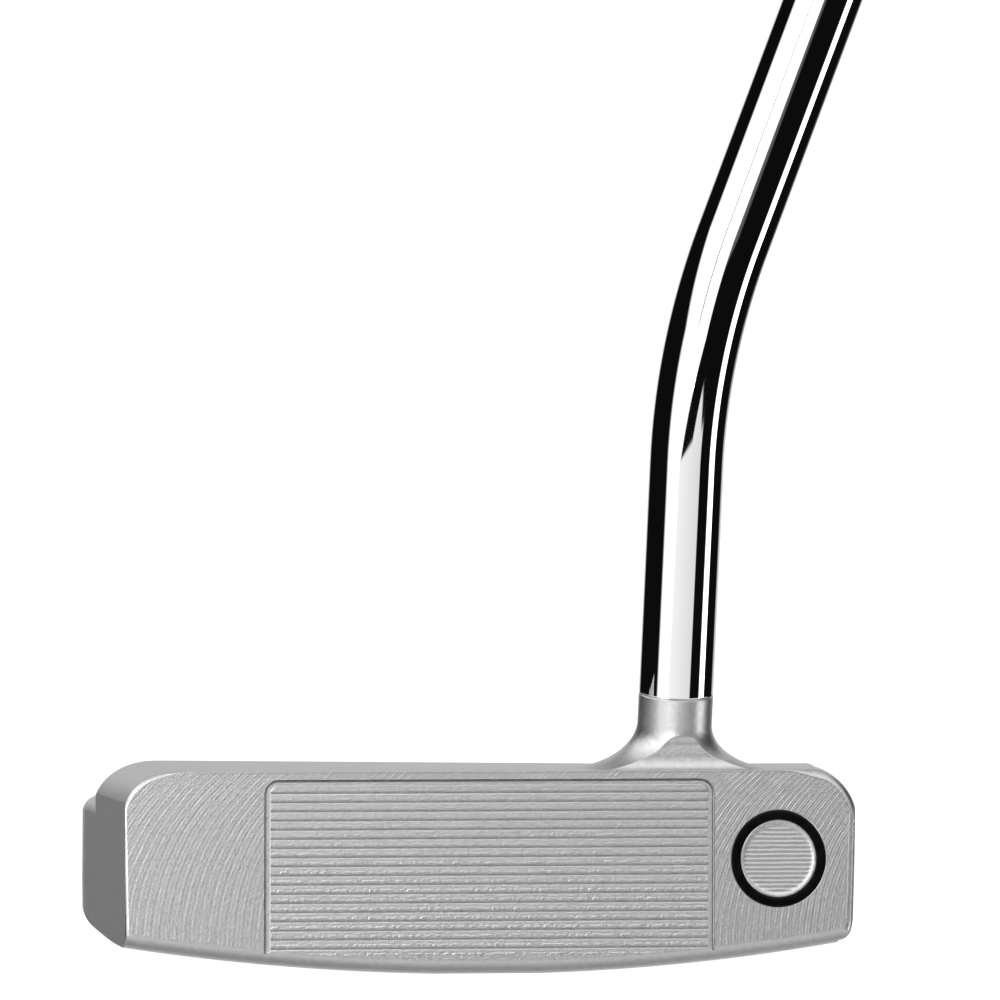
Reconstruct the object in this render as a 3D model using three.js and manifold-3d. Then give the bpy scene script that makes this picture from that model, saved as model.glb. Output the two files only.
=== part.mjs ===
// Mallet putter: a one-piece milled head, a bent shaft that sleeves over the neck's post,
// and a stitched two-layer grip.
// Millimetres, +Z up. The origin is the middle of the sole's flat land, on the ground.
// X runs from toe (-) to heel (+), Y from the face (-) to the back (+).

import * as THREE from "three";
import { mergeVertices } from "three/addons/utils/BufferGeometryUtils.js";
import Module from "manifold-3d";

const DEG = Math.PI / 180;

// ---- Driving dimensions ----

// Head outline, seen from the face
const FACE_Y = -24; // where the face plane meets the ground
const LOFT = 3 * DEG;
const TOE_X = -49.6;
const HEEL_X = 50.15;
const SIDE_LEAN = 0.5; // how far the side walls come in towards the sole
const SIDE_TOP_Z = 21.9; // where the side walls turn into the top corners
const TOP_Z = 27.05;
const TOE_CORNER = 8.5; // width of the rounded top corners
const HEEL_CORNER = 8;

// Sole
const SOLE_RADIUS = 320; // heel-to-toe camber
const SOLE_LAND = 7; // half-width of the flat in the middle
const LEADING_RADIUS = 2.4; // round between face and sole
const TRAILING_RISE = 5; // round of the sole's edge behind the face block
const TRAILING_INSET = 4.5;

// Head, seen from above
const BLOCK_BACK_Y = -3; // the tall front block ends here
const FLANGE_TOP_Z = 21;
const FLANGE_FRONT_Y = -12;
const FLANGE_HALF_WIDTH = 49.8;
const FLANGE_STRAIGHT_Y = 6; // the flange's sides run straight to here
const HEAD_BACK_Y = 40;
const RIM_WIDTH = 7.5;
const SPINE_HALF_WIDTH = 9;
const POCKET_FRONT_Y = -0.5;
const POCKET_FLOOR_Z = 11;
const POCKET_CORNER = 3;
const SIGHT_LINE = { width: 1.8, depth: 0.5, front: -1, back: 36 };

// Milling on the face, measured up the face from the ground
const PANEL = { halfWidth: 30.4, top: 25.6, border: 0.8, corner: 2, depth: 0.25, bottom: 0.5 };
const GROOVE = { count: 18, first: 24.27, pitch: 1.215, width: 0.5, depth: 0.25 };
const RING = { x: 39.35, up: 15.3, outer: 6.45, inner: 5.25, depth: 0.6, clearance: 0.15 };

// Neck and its post
const NECK_TOP = new THREE.Vector3(26.27, -17.5, 37);
const NECK_AXIS = new THREE.Vector3(0.005, -0.123, 1).normalize();
const NECK_RADIUS = 4.97;
const FLARE = { width: 5.4, height: 6.2, toeStretch: 0.55, heelShrink: 0.2, sink: 0.15 };
const NECK_ROOT = 12; // how far the neck runs down inside the block
const POST = { radius: 3.75, length: 25 };
const FACET = { y: -21.62, bottom: 29.2, top: 31.35 }; // flat milled on the front of the flare

// Sole weights
const WEIGHT = { x: 32, y: 6, radius: 8.7, height: 6.3, recess: 0.3, chamfer: 0.6 };
const WEIGHT_SEAT_RADIUS = 9;
const WASHER = { outer: 8.5, inner: 4, height: 0.5 };
const SOCKET = { radius: 3.2, depth: 3.5 };
const SEAT_GAP = 0.2;

// Shaft
const SHAFT_RADIUS = 4.95; // 0.390 in tip
const SHAFT_WALL = 0.55;
const SHAFT_STRAIGHT = 31.1; // from the neck to the bend
const BEND_RADIUS = 84;
const SHAFT_AXIS = new THREE.Vector3(0.368, 0, 1).normalize(); // 69.8 degree lie
const CLUB_LENGTH = 863.6; // 34 in, sole to cap along the upper shaft
const STEPS = { start: 128, spacing: 38, count: 8, growth: 0.3, taper: 2 };
const FIT_GAP = 0.2;

// Grip, measured down from the top of its cap
const GRIP_LENGTH = 267;
const GRIP_LIP = 5; // the core shows below the skin
const CAP_HEIGHT = 3;
const TAPE = { gap: 0.15, thickness: 0.2, top: -6, bottom: -258 };
const SKIN_THICKNESS = 1.3;
const THREAD_RADIUS = 0.45;
const VENT_RADIUS = 1.2;
const BAND = { top: -278, bottom: -302, gap: 0.12, thickness: 0.15 };

// ---- Solids ----

const wasm = await Module();
wasm.setup();

function solidOf(geometry) {
  const bare = geometry.clone();
  bare.deleteAttribute("normal");
  bare.deleteAttribute("uv");
  const merged = mergeVertices(bare, 1e-4);
  return new wasm.Manifold(
    new wasm.Mesh({
      numProp: 3,
      vertProperties: merged.attributes.position.array,
      triVerts: Uint32Array.from(merged.index.array),
    }),
  );
}

function geometryOf(solid) {
  const mesh = solid.getMesh();
  const geometry = new THREE.BufferGeometry();
  geometry.setAttribute("position", new THREE.BufferAttribute(mesh.vertProperties, 3));
  geometry.setIndex(new THREE.BufferAttribute(mesh.triVerts, 1));
  geometry.computeVertexNormals();
  return geometry;
}

// A shape drawn in (x, y) and extruded along +Z from `from` to `to`.
function extrude(shape, from, to, curveSegments = 12) {
  const geometry = new THREE.ExtrudeGeometry(shape, {
    depth: to - from,
    bevelEnabled: false,
    curveSegments,
  });
  return geometry.translate(0, 0, from);
}

// The same, for a shape drawn in (x, z) and extruded along +Y.
function extrudeAlongY(shape, from, to, curveSegments) {
  return extrude(shape, -to, -from, curveSegments).rotateX(Math.PI / 2);
}

// The same, for a shape drawn in (y, z) and extruded along +X.
function extrudeAlongX(shape, from, to, curveSegments) {
  const cycle = new THREE.Matrix4().makeBasis(
    new THREE.Vector3(0, 1, 0),
    new THREE.Vector3(0, 0, 1),
    new THREE.Vector3(1, 0, 0),
  );
  return extrude(shape, from, to, curveSegments).applyMatrix4(cycle);
}

// A profile of [radius, z] points turned about Z. It starts and ends on the axis, or closes on itself.
function turn(profile, segments) {
  const points = profile.map(([radius, z]) => new THREE.Vector2(radius, z));
  return new THREE.LatheGeometry(points, segments).rotateX(Math.PI / 2);
}

// A tube's closed profile, from its outer [radius, z] points and its inner ones, both going up.
function tubeProfile(outer, inner) {
  return [...outer, ...inner.slice().reverse(), outer[0]];
}

function moveVertices(geometry, rule) {
  const position = geometry.getAttribute("position");
  const point = new THREE.Vector3();
  for (let i = 0; i < position.count; i++) {
    rule(point.fromBufferAttribute(position, i));
    position.setXYZ(i, point.x, point.y, point.z);
  }
  return geometry;
}

function material(color, roughness, metalness) {
  return new THREE.MeshStandardMaterial({ color, roughness, metalness });
}

function piece(name, geometry, look) {
  const mesh = new THREE.Mesh(geometry, look);
  mesh.name = name;
  return mesh;
}

// ---- Head ----

const faceY = (z) => FACE_Y + z * Math.tan(LOFT);
const camberZ = Math.sqrt(SOLE_RADIUS ** 2 - SOLE_LAND ** 2); // height of the camber's centre
const soleZ = (x) => camberZ - Math.sqrt(SOLE_RADIUS ** 2 - x ** 2);

// The face's own frame: x towards the heel, y up the face, z out of it.
const faceFrame = new THREE.Matrix4()
  .makeBasis(
    new THREE.Vector3(1, 0, 0),
    new THREE.Vector3(0, Math.sin(LOFT), Math.cos(LOFT)),
    new THREE.Vector3(0, -Math.cos(LOFT), Math.sin(LOFT)),
  )
  .setPosition(0, FACE_Y, 0);

// Everything inside the head's outline as seen from the face.
function outlinePrism() {
  const outline = new THREE.Shape();
  outline.moveTo(TOE_X + SIDE_LEAN, 0);
  outline.lineTo(HEEL_X - SIDE_LEAN - 1, 0);
  outline.lineTo(HEEL_X - SIDE_LEAN - 1, soleZ(HEEL_X) + 0.5);
  outline.lineTo(HEEL_X - SIDE_LEAN, soleZ(HEEL_X) + 3);
  outline.lineTo(HEEL_X, SIDE_TOP_Z);
  outline.bezierCurveTo(
    HEEL_X - 0.8,
    SIDE_TOP_Z + 3,
    HEEL_X - 0.5 * HEEL_CORNER,
    TOP_Z,
    HEEL_X - HEEL_CORNER,
    TOP_Z,
  );
  outline.lineTo(TOE_X + TOE_CORNER, TOP_Z);
  outline.bezierCurveTo(
    TOE_X + 0.5 * TOE_CORNER,
    TOP_Z,
    TOE_X + 0.8,
    SIDE_TOP_Z + 3.2,
    TOE_X,
    SIDE_TOP_Z,
  );
  outline.closePath();
  return solidOf(extrudeAlongY(outline, FACE_Y - 5, HEAD_BACK_Y + 5));
}

// A wide disc standing on its rim: the rim is the sole's camber, its front edge the leading edge.
function camberDisc() {
  const profile = [[0, HEAD_BACK_Y + 1]];
  profile.push([SOLE_RADIUS, HEAD_BACK_Y + 1]);
  const roundSteps = 5;
  for (let i = 0; i <= roundSteps; i++) {
    const angle = ((i / roundSteps) * Math.PI) / 2;
    profile.push([
      SOLE_RADIUS - LEADING_RADIUS * (1 - Math.cos(angle)),
      FACE_Y + LEADING_RADIUS * (1 - Math.sin(angle)),
    ]);
  }
  profile.push([0, FACE_Y]);
  const disc = turn(profile.reverse(), 300);
  return solidOf(disc.rotateX(-Math.PI / 2).translate(0, 0, camberZ));
}

// The flange seen from above: straight sides and a half-ellipse behind them.
function flangePrism() {
  const plan = new THREE.Shape();
  plan.moveTo(-FLANGE_HALF_WIDTH, FLANGE_FRONT_Y - 20);
  plan.lineTo(FLANGE_HALF_WIDTH, FLANGE_FRONT_Y - 20);
  plan.lineTo(FLANGE_HALF_WIDTH, FLANGE_STRAIGHT_Y);
  plan.absellipse(
    0,
    FLANGE_STRAIGHT_Y,
    FLANGE_HALF_WIDTH,
    HEAD_BACK_Y - FLANGE_STRAIGHT_Y,
    0,
    Math.PI,
    false,
  );
  plan.closePath();
  const geometry = new THREE.ExtrudeGeometry(plan, {
    depth: 40,
    curveSegments: 32,
    bevelThickness: TRAILING_RISE,
    bevelSize: TRAILING_INSET,
    bevelOffset: -TRAILING_INSET,
    bevelSegments: 4,
  });
  return solidOf(geometry.translate(0, 0, TRAILING_RISE));
}

function slab(yFrom, yTo, zTo) {
  const box = new THREE.BoxGeometry(140, yTo - yFrom, zTo + 1);
  return solidOf(box.translate(0, (yFrom + yTo) / 2, (zTo - 1) / 2));
}

// Everything behind the face plane and behind the facet on the front of the neck's flare.
function behindFace() {
  const side = new THREE.Shape();
  side.moveTo(faceY(-1), -1);
  side.lineTo(HEAD_BACK_Y + 10, -1);
  side.lineTo(HEAD_BACK_Y + 10, 90);
  side.lineTo(-60, 90);
  side.lineTo(-60, 50);
  side.lineTo(FACET.y - 1.3, NECK_TOP.z + 1);
  side.lineTo(FACET.y - 0.05, FACET.top);
  side.lineTo(FACET.y, FACET.bottom);
  side.quadraticCurveTo(FACET.y, TOP_Z + 0.1, faceY(TOP_Z), TOP_Z + 0.02);
  side.closePath();
  return solidOf(extrudeAlongX(side, -70, 70, 4));
}

// Neck, flare and post, turned straight and then leaned along the neck's axis. The flare's foot stays
// level on the block's top, and it reaches further towards the toe than towards the heel.
function neck() {
  const height = (NECK_TOP.z - TOP_Z) / NECK_AXIS.z;
  const profile = [
    [0, -NECK_ROOT],
    [NECK_RADIUS + FLARE.width - 2, -NECK_ROOT],
  ];
  const flareSteps = 7;
  for (let i = flareSteps; i >= 0; i--) {
    const angle = ((i / flareSteps) * Math.PI) / 2;
    profile.push([
      NECK_RADIUS + FLARE.width * (1 - Math.cos(angle)),
      FLARE.height * (1 - Math.sin(angle)) - FLARE.sink,
    ]);
  }
  profile.push(
    [NECK_RADIUS, height],
    [POST.radius, height],
    [POST.radius, height + POST.length],
    [0, height + POST.length],
  );
  const foot = NECK_TOP.clone().addScaledVector(NECK_AXIS, -height);
  const lean = new THREE.Quaternion().setFromUnitVectors(new THREE.Vector3(0, 0, 1), NECK_AXIS);
  const level = new THREE.Quaternion();
  const geometry = moveVertices(turn(profile, 48), (point) => {
    const along = point.z;
    const radius = Math.hypot(point.x, point.y);
    const section = new THREE.Vector3(point.x, point.y, 0);
    if (radius > NECK_RADIUS) {
      const side = point.x / radius;
      const stretch = side < 0 ? FLARE.toeStretch : -FLARE.heelShrink;
      const flare = (radius - NECK_RADIUS) * (1 + stretch * side * side);
      section.setLength(NECK_RADIUS + flare);
    }
    const share = THREE.MathUtils.smoothstep(along, 0, FLARE.height);
    section.applyQuaternion(level.clone().slerp(lean, share));
    point.copy(foot).addScaledVector(NECK_AXIS, along).add(section);
  });
  return solidOf(geometry);
}

// One of the two pockets behind the block; `side` is -1 for the toe's and 1 for the heel's.
function rearPocket(side) {
  const halfWidth = FLANGE_HALF_WIDTH - RIM_WIDTH;
  const depth = HEAD_BACK_Y - RIM_WIDTH - FLANGE_STRAIGHT_Y;
  const innerEdge = SPINE_HALF_WIDTH;
  const meetAngle = Math.acos((innerEdge + POCKET_CORNER) / halfWidth);
  const meetY = FLANGE_STRAIGHT_Y + depth * Math.sqrt(1 - (innerEdge / halfWidth) ** 2);
  const plan = new THREE.Shape();
  plan.moveTo(innerEdge + POCKET_CORNER, POCKET_FRONT_Y);
  plan.lineTo(halfWidth - POCKET_CORNER, POCKET_FRONT_Y);
  plan.quadraticCurveTo(halfWidth, POCKET_FRONT_Y, halfWidth, POCKET_FRONT_Y + POCKET_CORNER);
  plan.lineTo(halfWidth, FLANGE_STRAIGHT_Y);
  plan.absellipse(0, FLANGE_STRAIGHT_Y, halfWidth, depth, 0, meetAngle, false);
  plan.quadraticCurveTo(innerEdge, meetY, innerEdge, meetY - POCKET_CORNER);
  plan.lineTo(innerEdge, POCKET_FRONT_Y + POCKET_CORNER);
  plan.quadraticCurveTo(innerEdge, POCKET_FRONT_Y, innerEdge + POCKET_CORNER, POCKET_FRONT_Y);
  const solid = solidOf(extrude(plan, POCKET_FLOOR_Z, FLANGE_TOP_Z + 1, 10));
  return side > 0 ? solid : solid.mirror([1, 0, 0]);
}

// The border channel round the milled panel. It runs out below into the leading edge.
function panelBorder() {
  const outline = (inset, path) => {
    const x = PANEL.halfWidth - inset;
    const top = PANEL.top - inset;
    const bottom = PANEL.bottom + inset;
    const corner = PANEL.corner - inset;
    path.moveTo(-x, bottom);
    path.lineTo(x, bottom);
    path.lineTo(x, top - corner);
    path.absarc(x - corner, top - corner, corner, 0, Math.PI / 2, false);
    path.absarc(-x + corner, top - corner, corner, Math.PI / 2, Math.PI, false);
    path.closePath();
    return path;
  };
  const border = outline(0, new THREE.Shape());
  border.holes.push(outline(PANEL.border, new THREE.Path()));
  return solidOf(extrude(border, -PANEL.depth, 1, 4).applyMatrix4(faceFrame));
}

function grooves() {
  const length = 2 * PANEL.halfWidth - PANEL.border;
  const cuts = [];
  for (let i = 0; i < GROOVE.count; i++) {
    const box = new THREE.BoxGeometry(length, GROOVE.width, 2 * GROOVE.depth);
    box.translate(0, GROOVE.first - i * GROOVE.pitch, 0);
    cuts.push(solidOf(box.applyMatrix4(faceFrame)));
  }
  return cuts;
}

function ringTube(outer, inner, from, to) {
  const tube = turn(
    tubeProfile(
      [
        [outer, from],
        [outer, to],
      ],
      [
        [inner, from],
        [inner, to],
      ],
    ),
    48,
  );
  return tube.translate(RING.x, RING.up, 0);
}

const weightFrame = (side) =>
  new THREE.Matrix4()
    .makeRotationY(-Math.asin((side * WEIGHT.x) / SOLE_RADIUS))
    .setPosition(side * WEIGHT.x, WEIGHT.y, soleZ(WEIGHT.x));

const seatDepth = WEIGHT.recess + WEIGHT.height + WASHER.height + 2 * SEAT_GAP;

function weightSeat(side) {
  const seat = turn(
    [
      [0, -3],
      [WEIGHT_SEAT_RADIUS, -3],
      [WEIGHT_SEAT_RADIUS, seatDepth],
      [0, seatDepth],
    ],
    40,
  );
  return solidOf(seat.applyMatrix4(weightFrame(side)));
}

function sightLineCut(clearance, top) {
  const { width, depth, front, back } = SIGHT_LINE;
  const bottom = FLANGE_TOP_Z - depth + clearance;
  const box = new THREE.BoxGeometry(width - 2 * clearance, back - front - 2 * clearance, top - bottom);
  return box.translate(0, (front + back) / 2, (top + bottom) / 2);
}

function headBody() {
  const outline = outlinePrism().intersect(camberDisc());
  const block = outline.intersect(slab(FACE_Y - 5, BLOCK_BACK_Y, TOP_Z + 1));
  const flange = outline
    .intersect(flangePrism())
    .intersect(slab(FLANGE_FRONT_Y, HEAD_BACK_Y + 5, FLANGE_TOP_Z));
  let head = block.add(flange).add(neck()).intersect(behindFace());
  const cuts = [
    rearPocket(-1),
    rearPocket(1),
    weightSeat(-1),
    weightSeat(1),
    panelBorder(),
    ...grooves(),
    solidOf(ringTube(RING.outer, RING.inner, -RING.depth, 1).applyMatrix4(faceFrame)),
    solidOf(sightLineCut(0, FLANGE_TOP_Z + 1)),
  ];
  for (const cut of cuts) head = head.subtract(cut);
  return geometryOf(head);
}

function weightGeometry() {
  const { radius, height, recess, chamfer } = WEIGHT;
  const body = turn(
    [
      [0, recess],
      [radius - chamfer, recess],
      [radius, recess + chamfer],
      [radius, recess + height],
      [0, recess + height],
    ],
    40,
  );
  const socket = turn(
    [
      [0, -1],
      [SOCKET.radius, -1],
      [SOCKET.radius, recess + SOCKET.depth],
      [0, recess + SOCKET.depth],
    ],
    6,
  );
  return geometryOf(solidOf(body).subtract(solidOf(socket)));
}

function washerGeometry() {
  const bottom = WEIGHT.recess + WEIGHT.height + SEAT_GAP;
  const top = bottom + WASHER.height;
  return turn(
    tubeProfile(
      [
        [WASHER.outer, bottom],
        [WASHER.outer, top],
      ],
      [
        [WASHER.inner, bottom],
        [WASHER.inner, top],
      ],
    ),
    40,
  );
}

// ---- Shaft ----

const boreRadius = SHAFT_RADIUS - SHAFT_WALL;
const buttRadius = SHAFT_RADIUS + STEPS.count * STEPS.growth;
const bendAngle = NECK_AXIS.angleTo(SHAFT_AXIS);
const bendSide = SHAFT_AXIS.clone()
  .addScaledVector(NECK_AXIS, -SHAFT_AXIS.dot(NECK_AXIS))
  .normalize();
const bendEnd = NECK_TOP.clone()
  .addScaledVector(NECK_AXIS, SHAFT_STRAIGHT + BEND_RADIUS * Math.sin(bendAngle))
  .addScaledVector(bendSide, BEND_RADIUS * (1 - Math.cos(bendAngle)));
const upperLength = CLUB_LENGTH - bendEnd.z / SHAFT_AXIS.z;
const gripTop = bendEnd.clone().addScaledVector(SHAFT_AXIS, upperLength);
const shaftLength = SHAFT_STRAIGHT + BEND_RADIUS * bendAngle + upperLength - CAP_HEIGHT - 2 * FIT_GAP;

// The shaft's own frame stands on the neck: z along it, x to the side that the bend turns to.
const neckFrame = new THREE.Matrix4()
  .makeBasis(bendSide, NECK_AXIS.clone().cross(bendSide), NECK_AXIS)
  .setPosition(NECK_TOP);

// Takes a point beside a straight shaft to its place beside the bent one.
function bend(point) {
  const angle = THREE.MathUtils.clamp((point.z - SHAFT_STRAIGHT) / BEND_RADIUS, 0, bendAngle);
  const beyond = point.z - (angle > 0 ? SHAFT_STRAIGHT + angle * BEND_RADIUS : 0);
  const radial = point.x;
  point.x = radial * Math.cos(angle);
  point.z = -radial * Math.sin(angle);
  if (angle > 0) {
    point.x += BEND_RADIUS * (1 - Math.cos(angle));
    point.z += SHAFT_STRAIGHT + BEND_RADIUS * Math.sin(angle);
  }
  point.x += beyond * Math.sin(angle);
  point.z += beyond * Math.cos(angle);
}

function bendHeights() {
  const bendSteps = 12;
  const heights = [];
  for (let i = 0; i <= bendSteps; i++) {
    heights.push(SHAFT_STRAIGHT + (i / bendSteps) * BEND_RADIUS * bendAngle);
  }
  return heights;
}

function shaftGeometry() {
  const outer = [[SHAFT_RADIUS, FIT_GAP]];
  const inner = [[boreRadius, FIT_GAP]];
  for (const height of bendHeights()) {
    outer.push([SHAFT_RADIUS, height]);
    inner.push([boreRadius, height]);
  }
  for (let i = 0; i < STEPS.count; i++) {
    const height = STEPS.start + i * STEPS.spacing;
    outer.push([SHAFT_RADIUS + i * STEPS.growth, height]);
    outer.push([SHAFT_RADIUS + (i + 1) * STEPS.growth, height + STEPS.taper]);
  }
  inner.push([boreRadius, STEPS.start + STEPS.taper]);
  inner.push([buttRadius - SHAFT_WALL, STEPS.start + STEPS.count * STEPS.spacing]);
  outer.push([buttRadius, shaftLength]);
  inner.push([buttRadius - SHAFT_WALL, shaftLength]);
  return moveVertices(turn(tubeProfile(outer, inner), 28), bend);
}

function postBondGeometry() {
  const inner = POST.radius + FIT_GAP;
  const outer = boreRadius - FIT_GAP;
  return turn(
    tubeProfile(
      [
        [outer, 1],
        [outer, POST.length - 1],
      ],
      [
        [inner, 1],
        [inner, POST.length - 1],
      ],
    ),
    32,
  );
}

// ---- Grip ----

// The grip's own frame: z up the shaft from the cap's top, x to the underside, where the seam is.
const gripFrame = new THREE.Matrix4()
  .makeBasis(
    new THREE.Vector3(0, 1, 0).cross(SHAFT_AXIS),
    new THREE.Vector3(0, 1, 0),
    SHAFT_AXIS,
  )
  .setPosition(gripTop);

// The grip's outline at stations down its length: half-width, reach of the flat top, reach underneath.
const GRIP_STATIONS = [
  { z: 0, half: 12.8, top: 11.6, under: 16.6 },
  { z: -22, half: 13.2, top: 11.8, under: 17.2 },
  { z: -60, half: 12.9, top: 11.6, under: 14.6 },
  { z: -110, half: 12.5, top: 11.3, under: 13.2 },
  { z: -190, half: 11.6, top: 10.8, under: 12 },
  { z: -267, half: 10.7, top: 10.3, under: 10.8 },
];

const gripCurves = {};
for (const key of ["half", "top", "under"]) {
  gripCurves[key] = new THREE.SplineCurve(
    GRIP_STATIONS.map((station) => new THREE.Vector2(station.z, station[key])),
  );
}

function gripSize(key, z) {
  const last = GRIP_STATIONS.length - 1;
  let index = 0;
  while (index < last - 1 && z < GRIP_STATIONS[index + 1].z) index++;
  const above = GRIP_STATIONS[index].z;
  const below = GRIP_STATIONS[index + 1].z;
  const share = THREE.MathUtils.clamp((z - above) / (below - above), 0, 1);
  return gripCurves[key].getPoint((index + share) / last).y;
}

// Distance from the shaft's axis to the grip's surface: elliptical underneath, flattened on top.
function gripRadius(cos, sin, z) {
  const flat = cos < 0;
  const power = flat ? 3.4 : 2;
  const reach = gripSize(flat ? "top" : "under", z);
  const sum = Math.abs(cos / reach) ** power + Math.abs(sin / gripSize("half", z)) ** power;
  return sum ** (-1 / power);
}

// Radii near SURFACE stand for the grip's surface: SURFACE - 1 is 1 mm inside it, all the way round.
const SURFACE = 40;

function shapeGrip(point) {
  const radius = Math.hypot(point.x, point.y);
  if (radius < SURFACE / 2) return;
  const shaped = gripRadius(point.x / radius, point.y / radius, point.z) + radius - SURFACE;
  point.x *= shaped / radius;
  point.y *= shaped / radius;
}

function gripHeights(from, to, count) {
  return Array.from({ length: count + 1 }, (_, i) => from + ((to - from) * i) / count);
}

function tapeGeometry() {
  const inner = buttRadius + TAPE.gap;
  const outer = inner + TAPE.thickness;
  return turn(
    tubeProfile(
      [
        [outer, TAPE.bottom],
        [outer, TAPE.top],
      ],
      [
        [inner, TAPE.bottom],
        [inner, TAPE.top],
      ],
    ),
    32,
  );
}

function coreGeometry() {
  const bore = buttRadius + 2 * TAPE.gap + TAPE.thickness;
  const skinEnd = -GRIP_LENGTH + GRIP_LIP;
  const inset = SURFACE - SKIN_THICKNESS - FIT_GAP;
  const outer = [
    [SURFACE - 0.8, -GRIP_LENGTH],
    [SURFACE, -GRIP_LENGTH + 0.8],
    [SURFACE, skinEnd - FIT_GAP],
    ...gripHeights(skinEnd - FIT_GAP, -CAP_HEIGHT - FIT_GAP, 16).map((z) => [inset, z]),
  ];
  const inner = [
    [bore, -GRIP_LENGTH],
    [bore, -CAP_HEIGHT - FIT_GAP],
  ];
  return moveVertices(turn(tubeProfile(outer, inner), 36), shapeGrip);
}

function skinGeometry() {
  const heights = gripHeights(-GRIP_LENGTH + GRIP_LIP, -CAP_HEIGHT - FIT_GAP, 16);
  const outer = heights.map((z) => [SURFACE, z]);
  const inner = heights.map((z) => [SURFACE - SKIN_THICKNESS, z]);
  return moveVertices(turn(tubeProfile(outer, inner), 36), shapeGrip);
}

function capGeometry() {
  const outer = [
    [SURFACE, -CAP_HEIGHT],
    [SURFACE, -1],
    [SURFACE - 1, 0],
  ];
  const inner = [
    [VENT_RADIUS, -CAP_HEIGHT],
    [VENT_RADIUS, 0],
  ];
  return moveVertices(turn(tubeProfile(outer, inner), 36), shapeGrip);
}

// The seam's thread, drawn as one line of stitching along the underside.
function stitchingGeometry() {
  const lift = FIT_GAP + THREAD_RADIUS;
  const points = gripHeights(-GRIP_LENGTH + GRIP_LIP + 3, -CAP_HEIGHT - 4, 16).map(
    (z) => new THREE.Vector3(gripSize("under", z) + lift, 0, z),
  );
  const thread = new THREE.Shape();
  thread.absarc(0, 0, THREAD_RADIUS, 0, 2 * Math.PI, false);
  return new THREE.ExtrudeGeometry(thread, {
    extrudePath: new THREE.CatmullRomCurve3(points),
    steps: 32,
    curveSegments: 4,
    bevelEnabled: false,
  });
}

function bandGeometry() {
  const inner = buttRadius + BAND.gap;
  const outer = inner + BAND.thickness;
  return turn(
    tubeProfile(
      [
        [outer, BAND.bottom],
        [outer, BAND.top],
      ],
      [
        [inner, BAND.bottom],
        [inner, BAND.top],
      ],
    ),
    32,
  );
}

// ---- Assembly ----

const looks = {
  milled: material(0xb4b5b6, 0.42, 1),
  enamel: material(0x0b0b0c, 0.25, 0),
  steel: material(0x8f9194, 0.3, 1),
  nylon: material(0xd8d6cf, 0.6, 0),
  epoxy: material(0x9a9184, 0.5, 0),
  chrome: material(0xe8e9ea, 0.05, 1),
  foil: material(0x3a3b3d, 0.35, 0),
  tape: material(0xcdbf9c, 0.8, 0),
  foam: material(0x202124, 0.9, 0),
  skin: material(0x17181a, 0.6, 0),
  thread: material(0xb9babc, 0.7, 0),
  rubber: material(0x141415, 0.7, 0),
};

function framed(matrix) {
  const group = new THREE.Group();
  matrix.decompose(group.position, group.quaternion, group.scale);
  return group;
}

const putter = new THREE.Group();

const head = new THREE.Group();
head.add(piece("head_body", headBody(), looks.milled));
head.add(
  piece(
    "sight_line_fill",
    sightLineCut(RING.clearance, FLANGE_TOP_Z - 0.05),
    looks.enamel,
  ),
);
putter.add(head);

const face = framed(faceFrame);
face.add(
  piece(
    "face_ring_fill",
    ringTube(
      RING.outer - RING.clearance,
      RING.inner + RING.clearance,
      -RING.depth + RING.clearance,
      -0.05,
    ),
    looks.enamel,
  ),
);
head.add(face);

for (const [name, side] of [
  ["toe", -1],
  ["heel", 1],
]) {
  const seat = framed(weightFrame(side));
  seat.add(piece(`${name}_weight`, weightGeometry(), looks.steel));
  seat.add(piece(`${name}_weight_washer`, washerGeometry(), looks.nylon));
  head.add(seat);
}

const shaft = framed(neckFrame);
shaft.add(piece("spud_epoxy", postBondGeometry(), looks.epoxy));
shaft.add(piece("shaft", shaftGeometry(), looks.chrome));
putter.add(shaft);

const grip = framed(gripFrame);
grip.add(piece("shaft_band", bandGeometry(), looks.foil));
grip.add(piece("grip_tape", tapeGeometry(), looks.tape));
grip.add(piece("grip_core", coreGeometry(), looks.foam));
grip.add(piece("grip_skin", skinGeometry(), looks.skin));
grip.add(piece("grip_stitching", stitchingGeometry(), looks.thread));
grip.add(piece("grip_cap", capGeometry(), looks.rubber));
putter.add(grip);

export default putter;
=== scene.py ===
"""Looks of the mallet putter: its milled head, chromed shaft and stitched grip, and the studio."""

import math

import bpy
import bmesh
import numpy as np
from mathutils import Matrix, Quaternion, Vector

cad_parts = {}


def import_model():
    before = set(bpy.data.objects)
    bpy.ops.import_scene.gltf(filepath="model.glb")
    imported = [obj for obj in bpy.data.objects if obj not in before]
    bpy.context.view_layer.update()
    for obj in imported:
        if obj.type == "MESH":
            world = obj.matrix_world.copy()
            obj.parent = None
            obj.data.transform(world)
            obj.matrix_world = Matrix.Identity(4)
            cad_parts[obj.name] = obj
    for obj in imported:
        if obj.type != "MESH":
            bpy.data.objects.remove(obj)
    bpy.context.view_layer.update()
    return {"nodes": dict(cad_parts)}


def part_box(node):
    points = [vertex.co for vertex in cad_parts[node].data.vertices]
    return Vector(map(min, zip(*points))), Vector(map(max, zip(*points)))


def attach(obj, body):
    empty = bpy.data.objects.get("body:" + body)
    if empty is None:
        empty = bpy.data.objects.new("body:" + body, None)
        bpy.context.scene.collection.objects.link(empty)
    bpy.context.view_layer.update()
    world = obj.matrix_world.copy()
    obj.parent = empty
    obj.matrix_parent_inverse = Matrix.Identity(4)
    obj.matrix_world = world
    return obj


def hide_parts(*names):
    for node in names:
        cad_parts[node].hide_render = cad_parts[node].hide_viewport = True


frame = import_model()

# ---- Driving dimensions, in millimetres, in the CAD's frame ----

MM = 0.001


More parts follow.
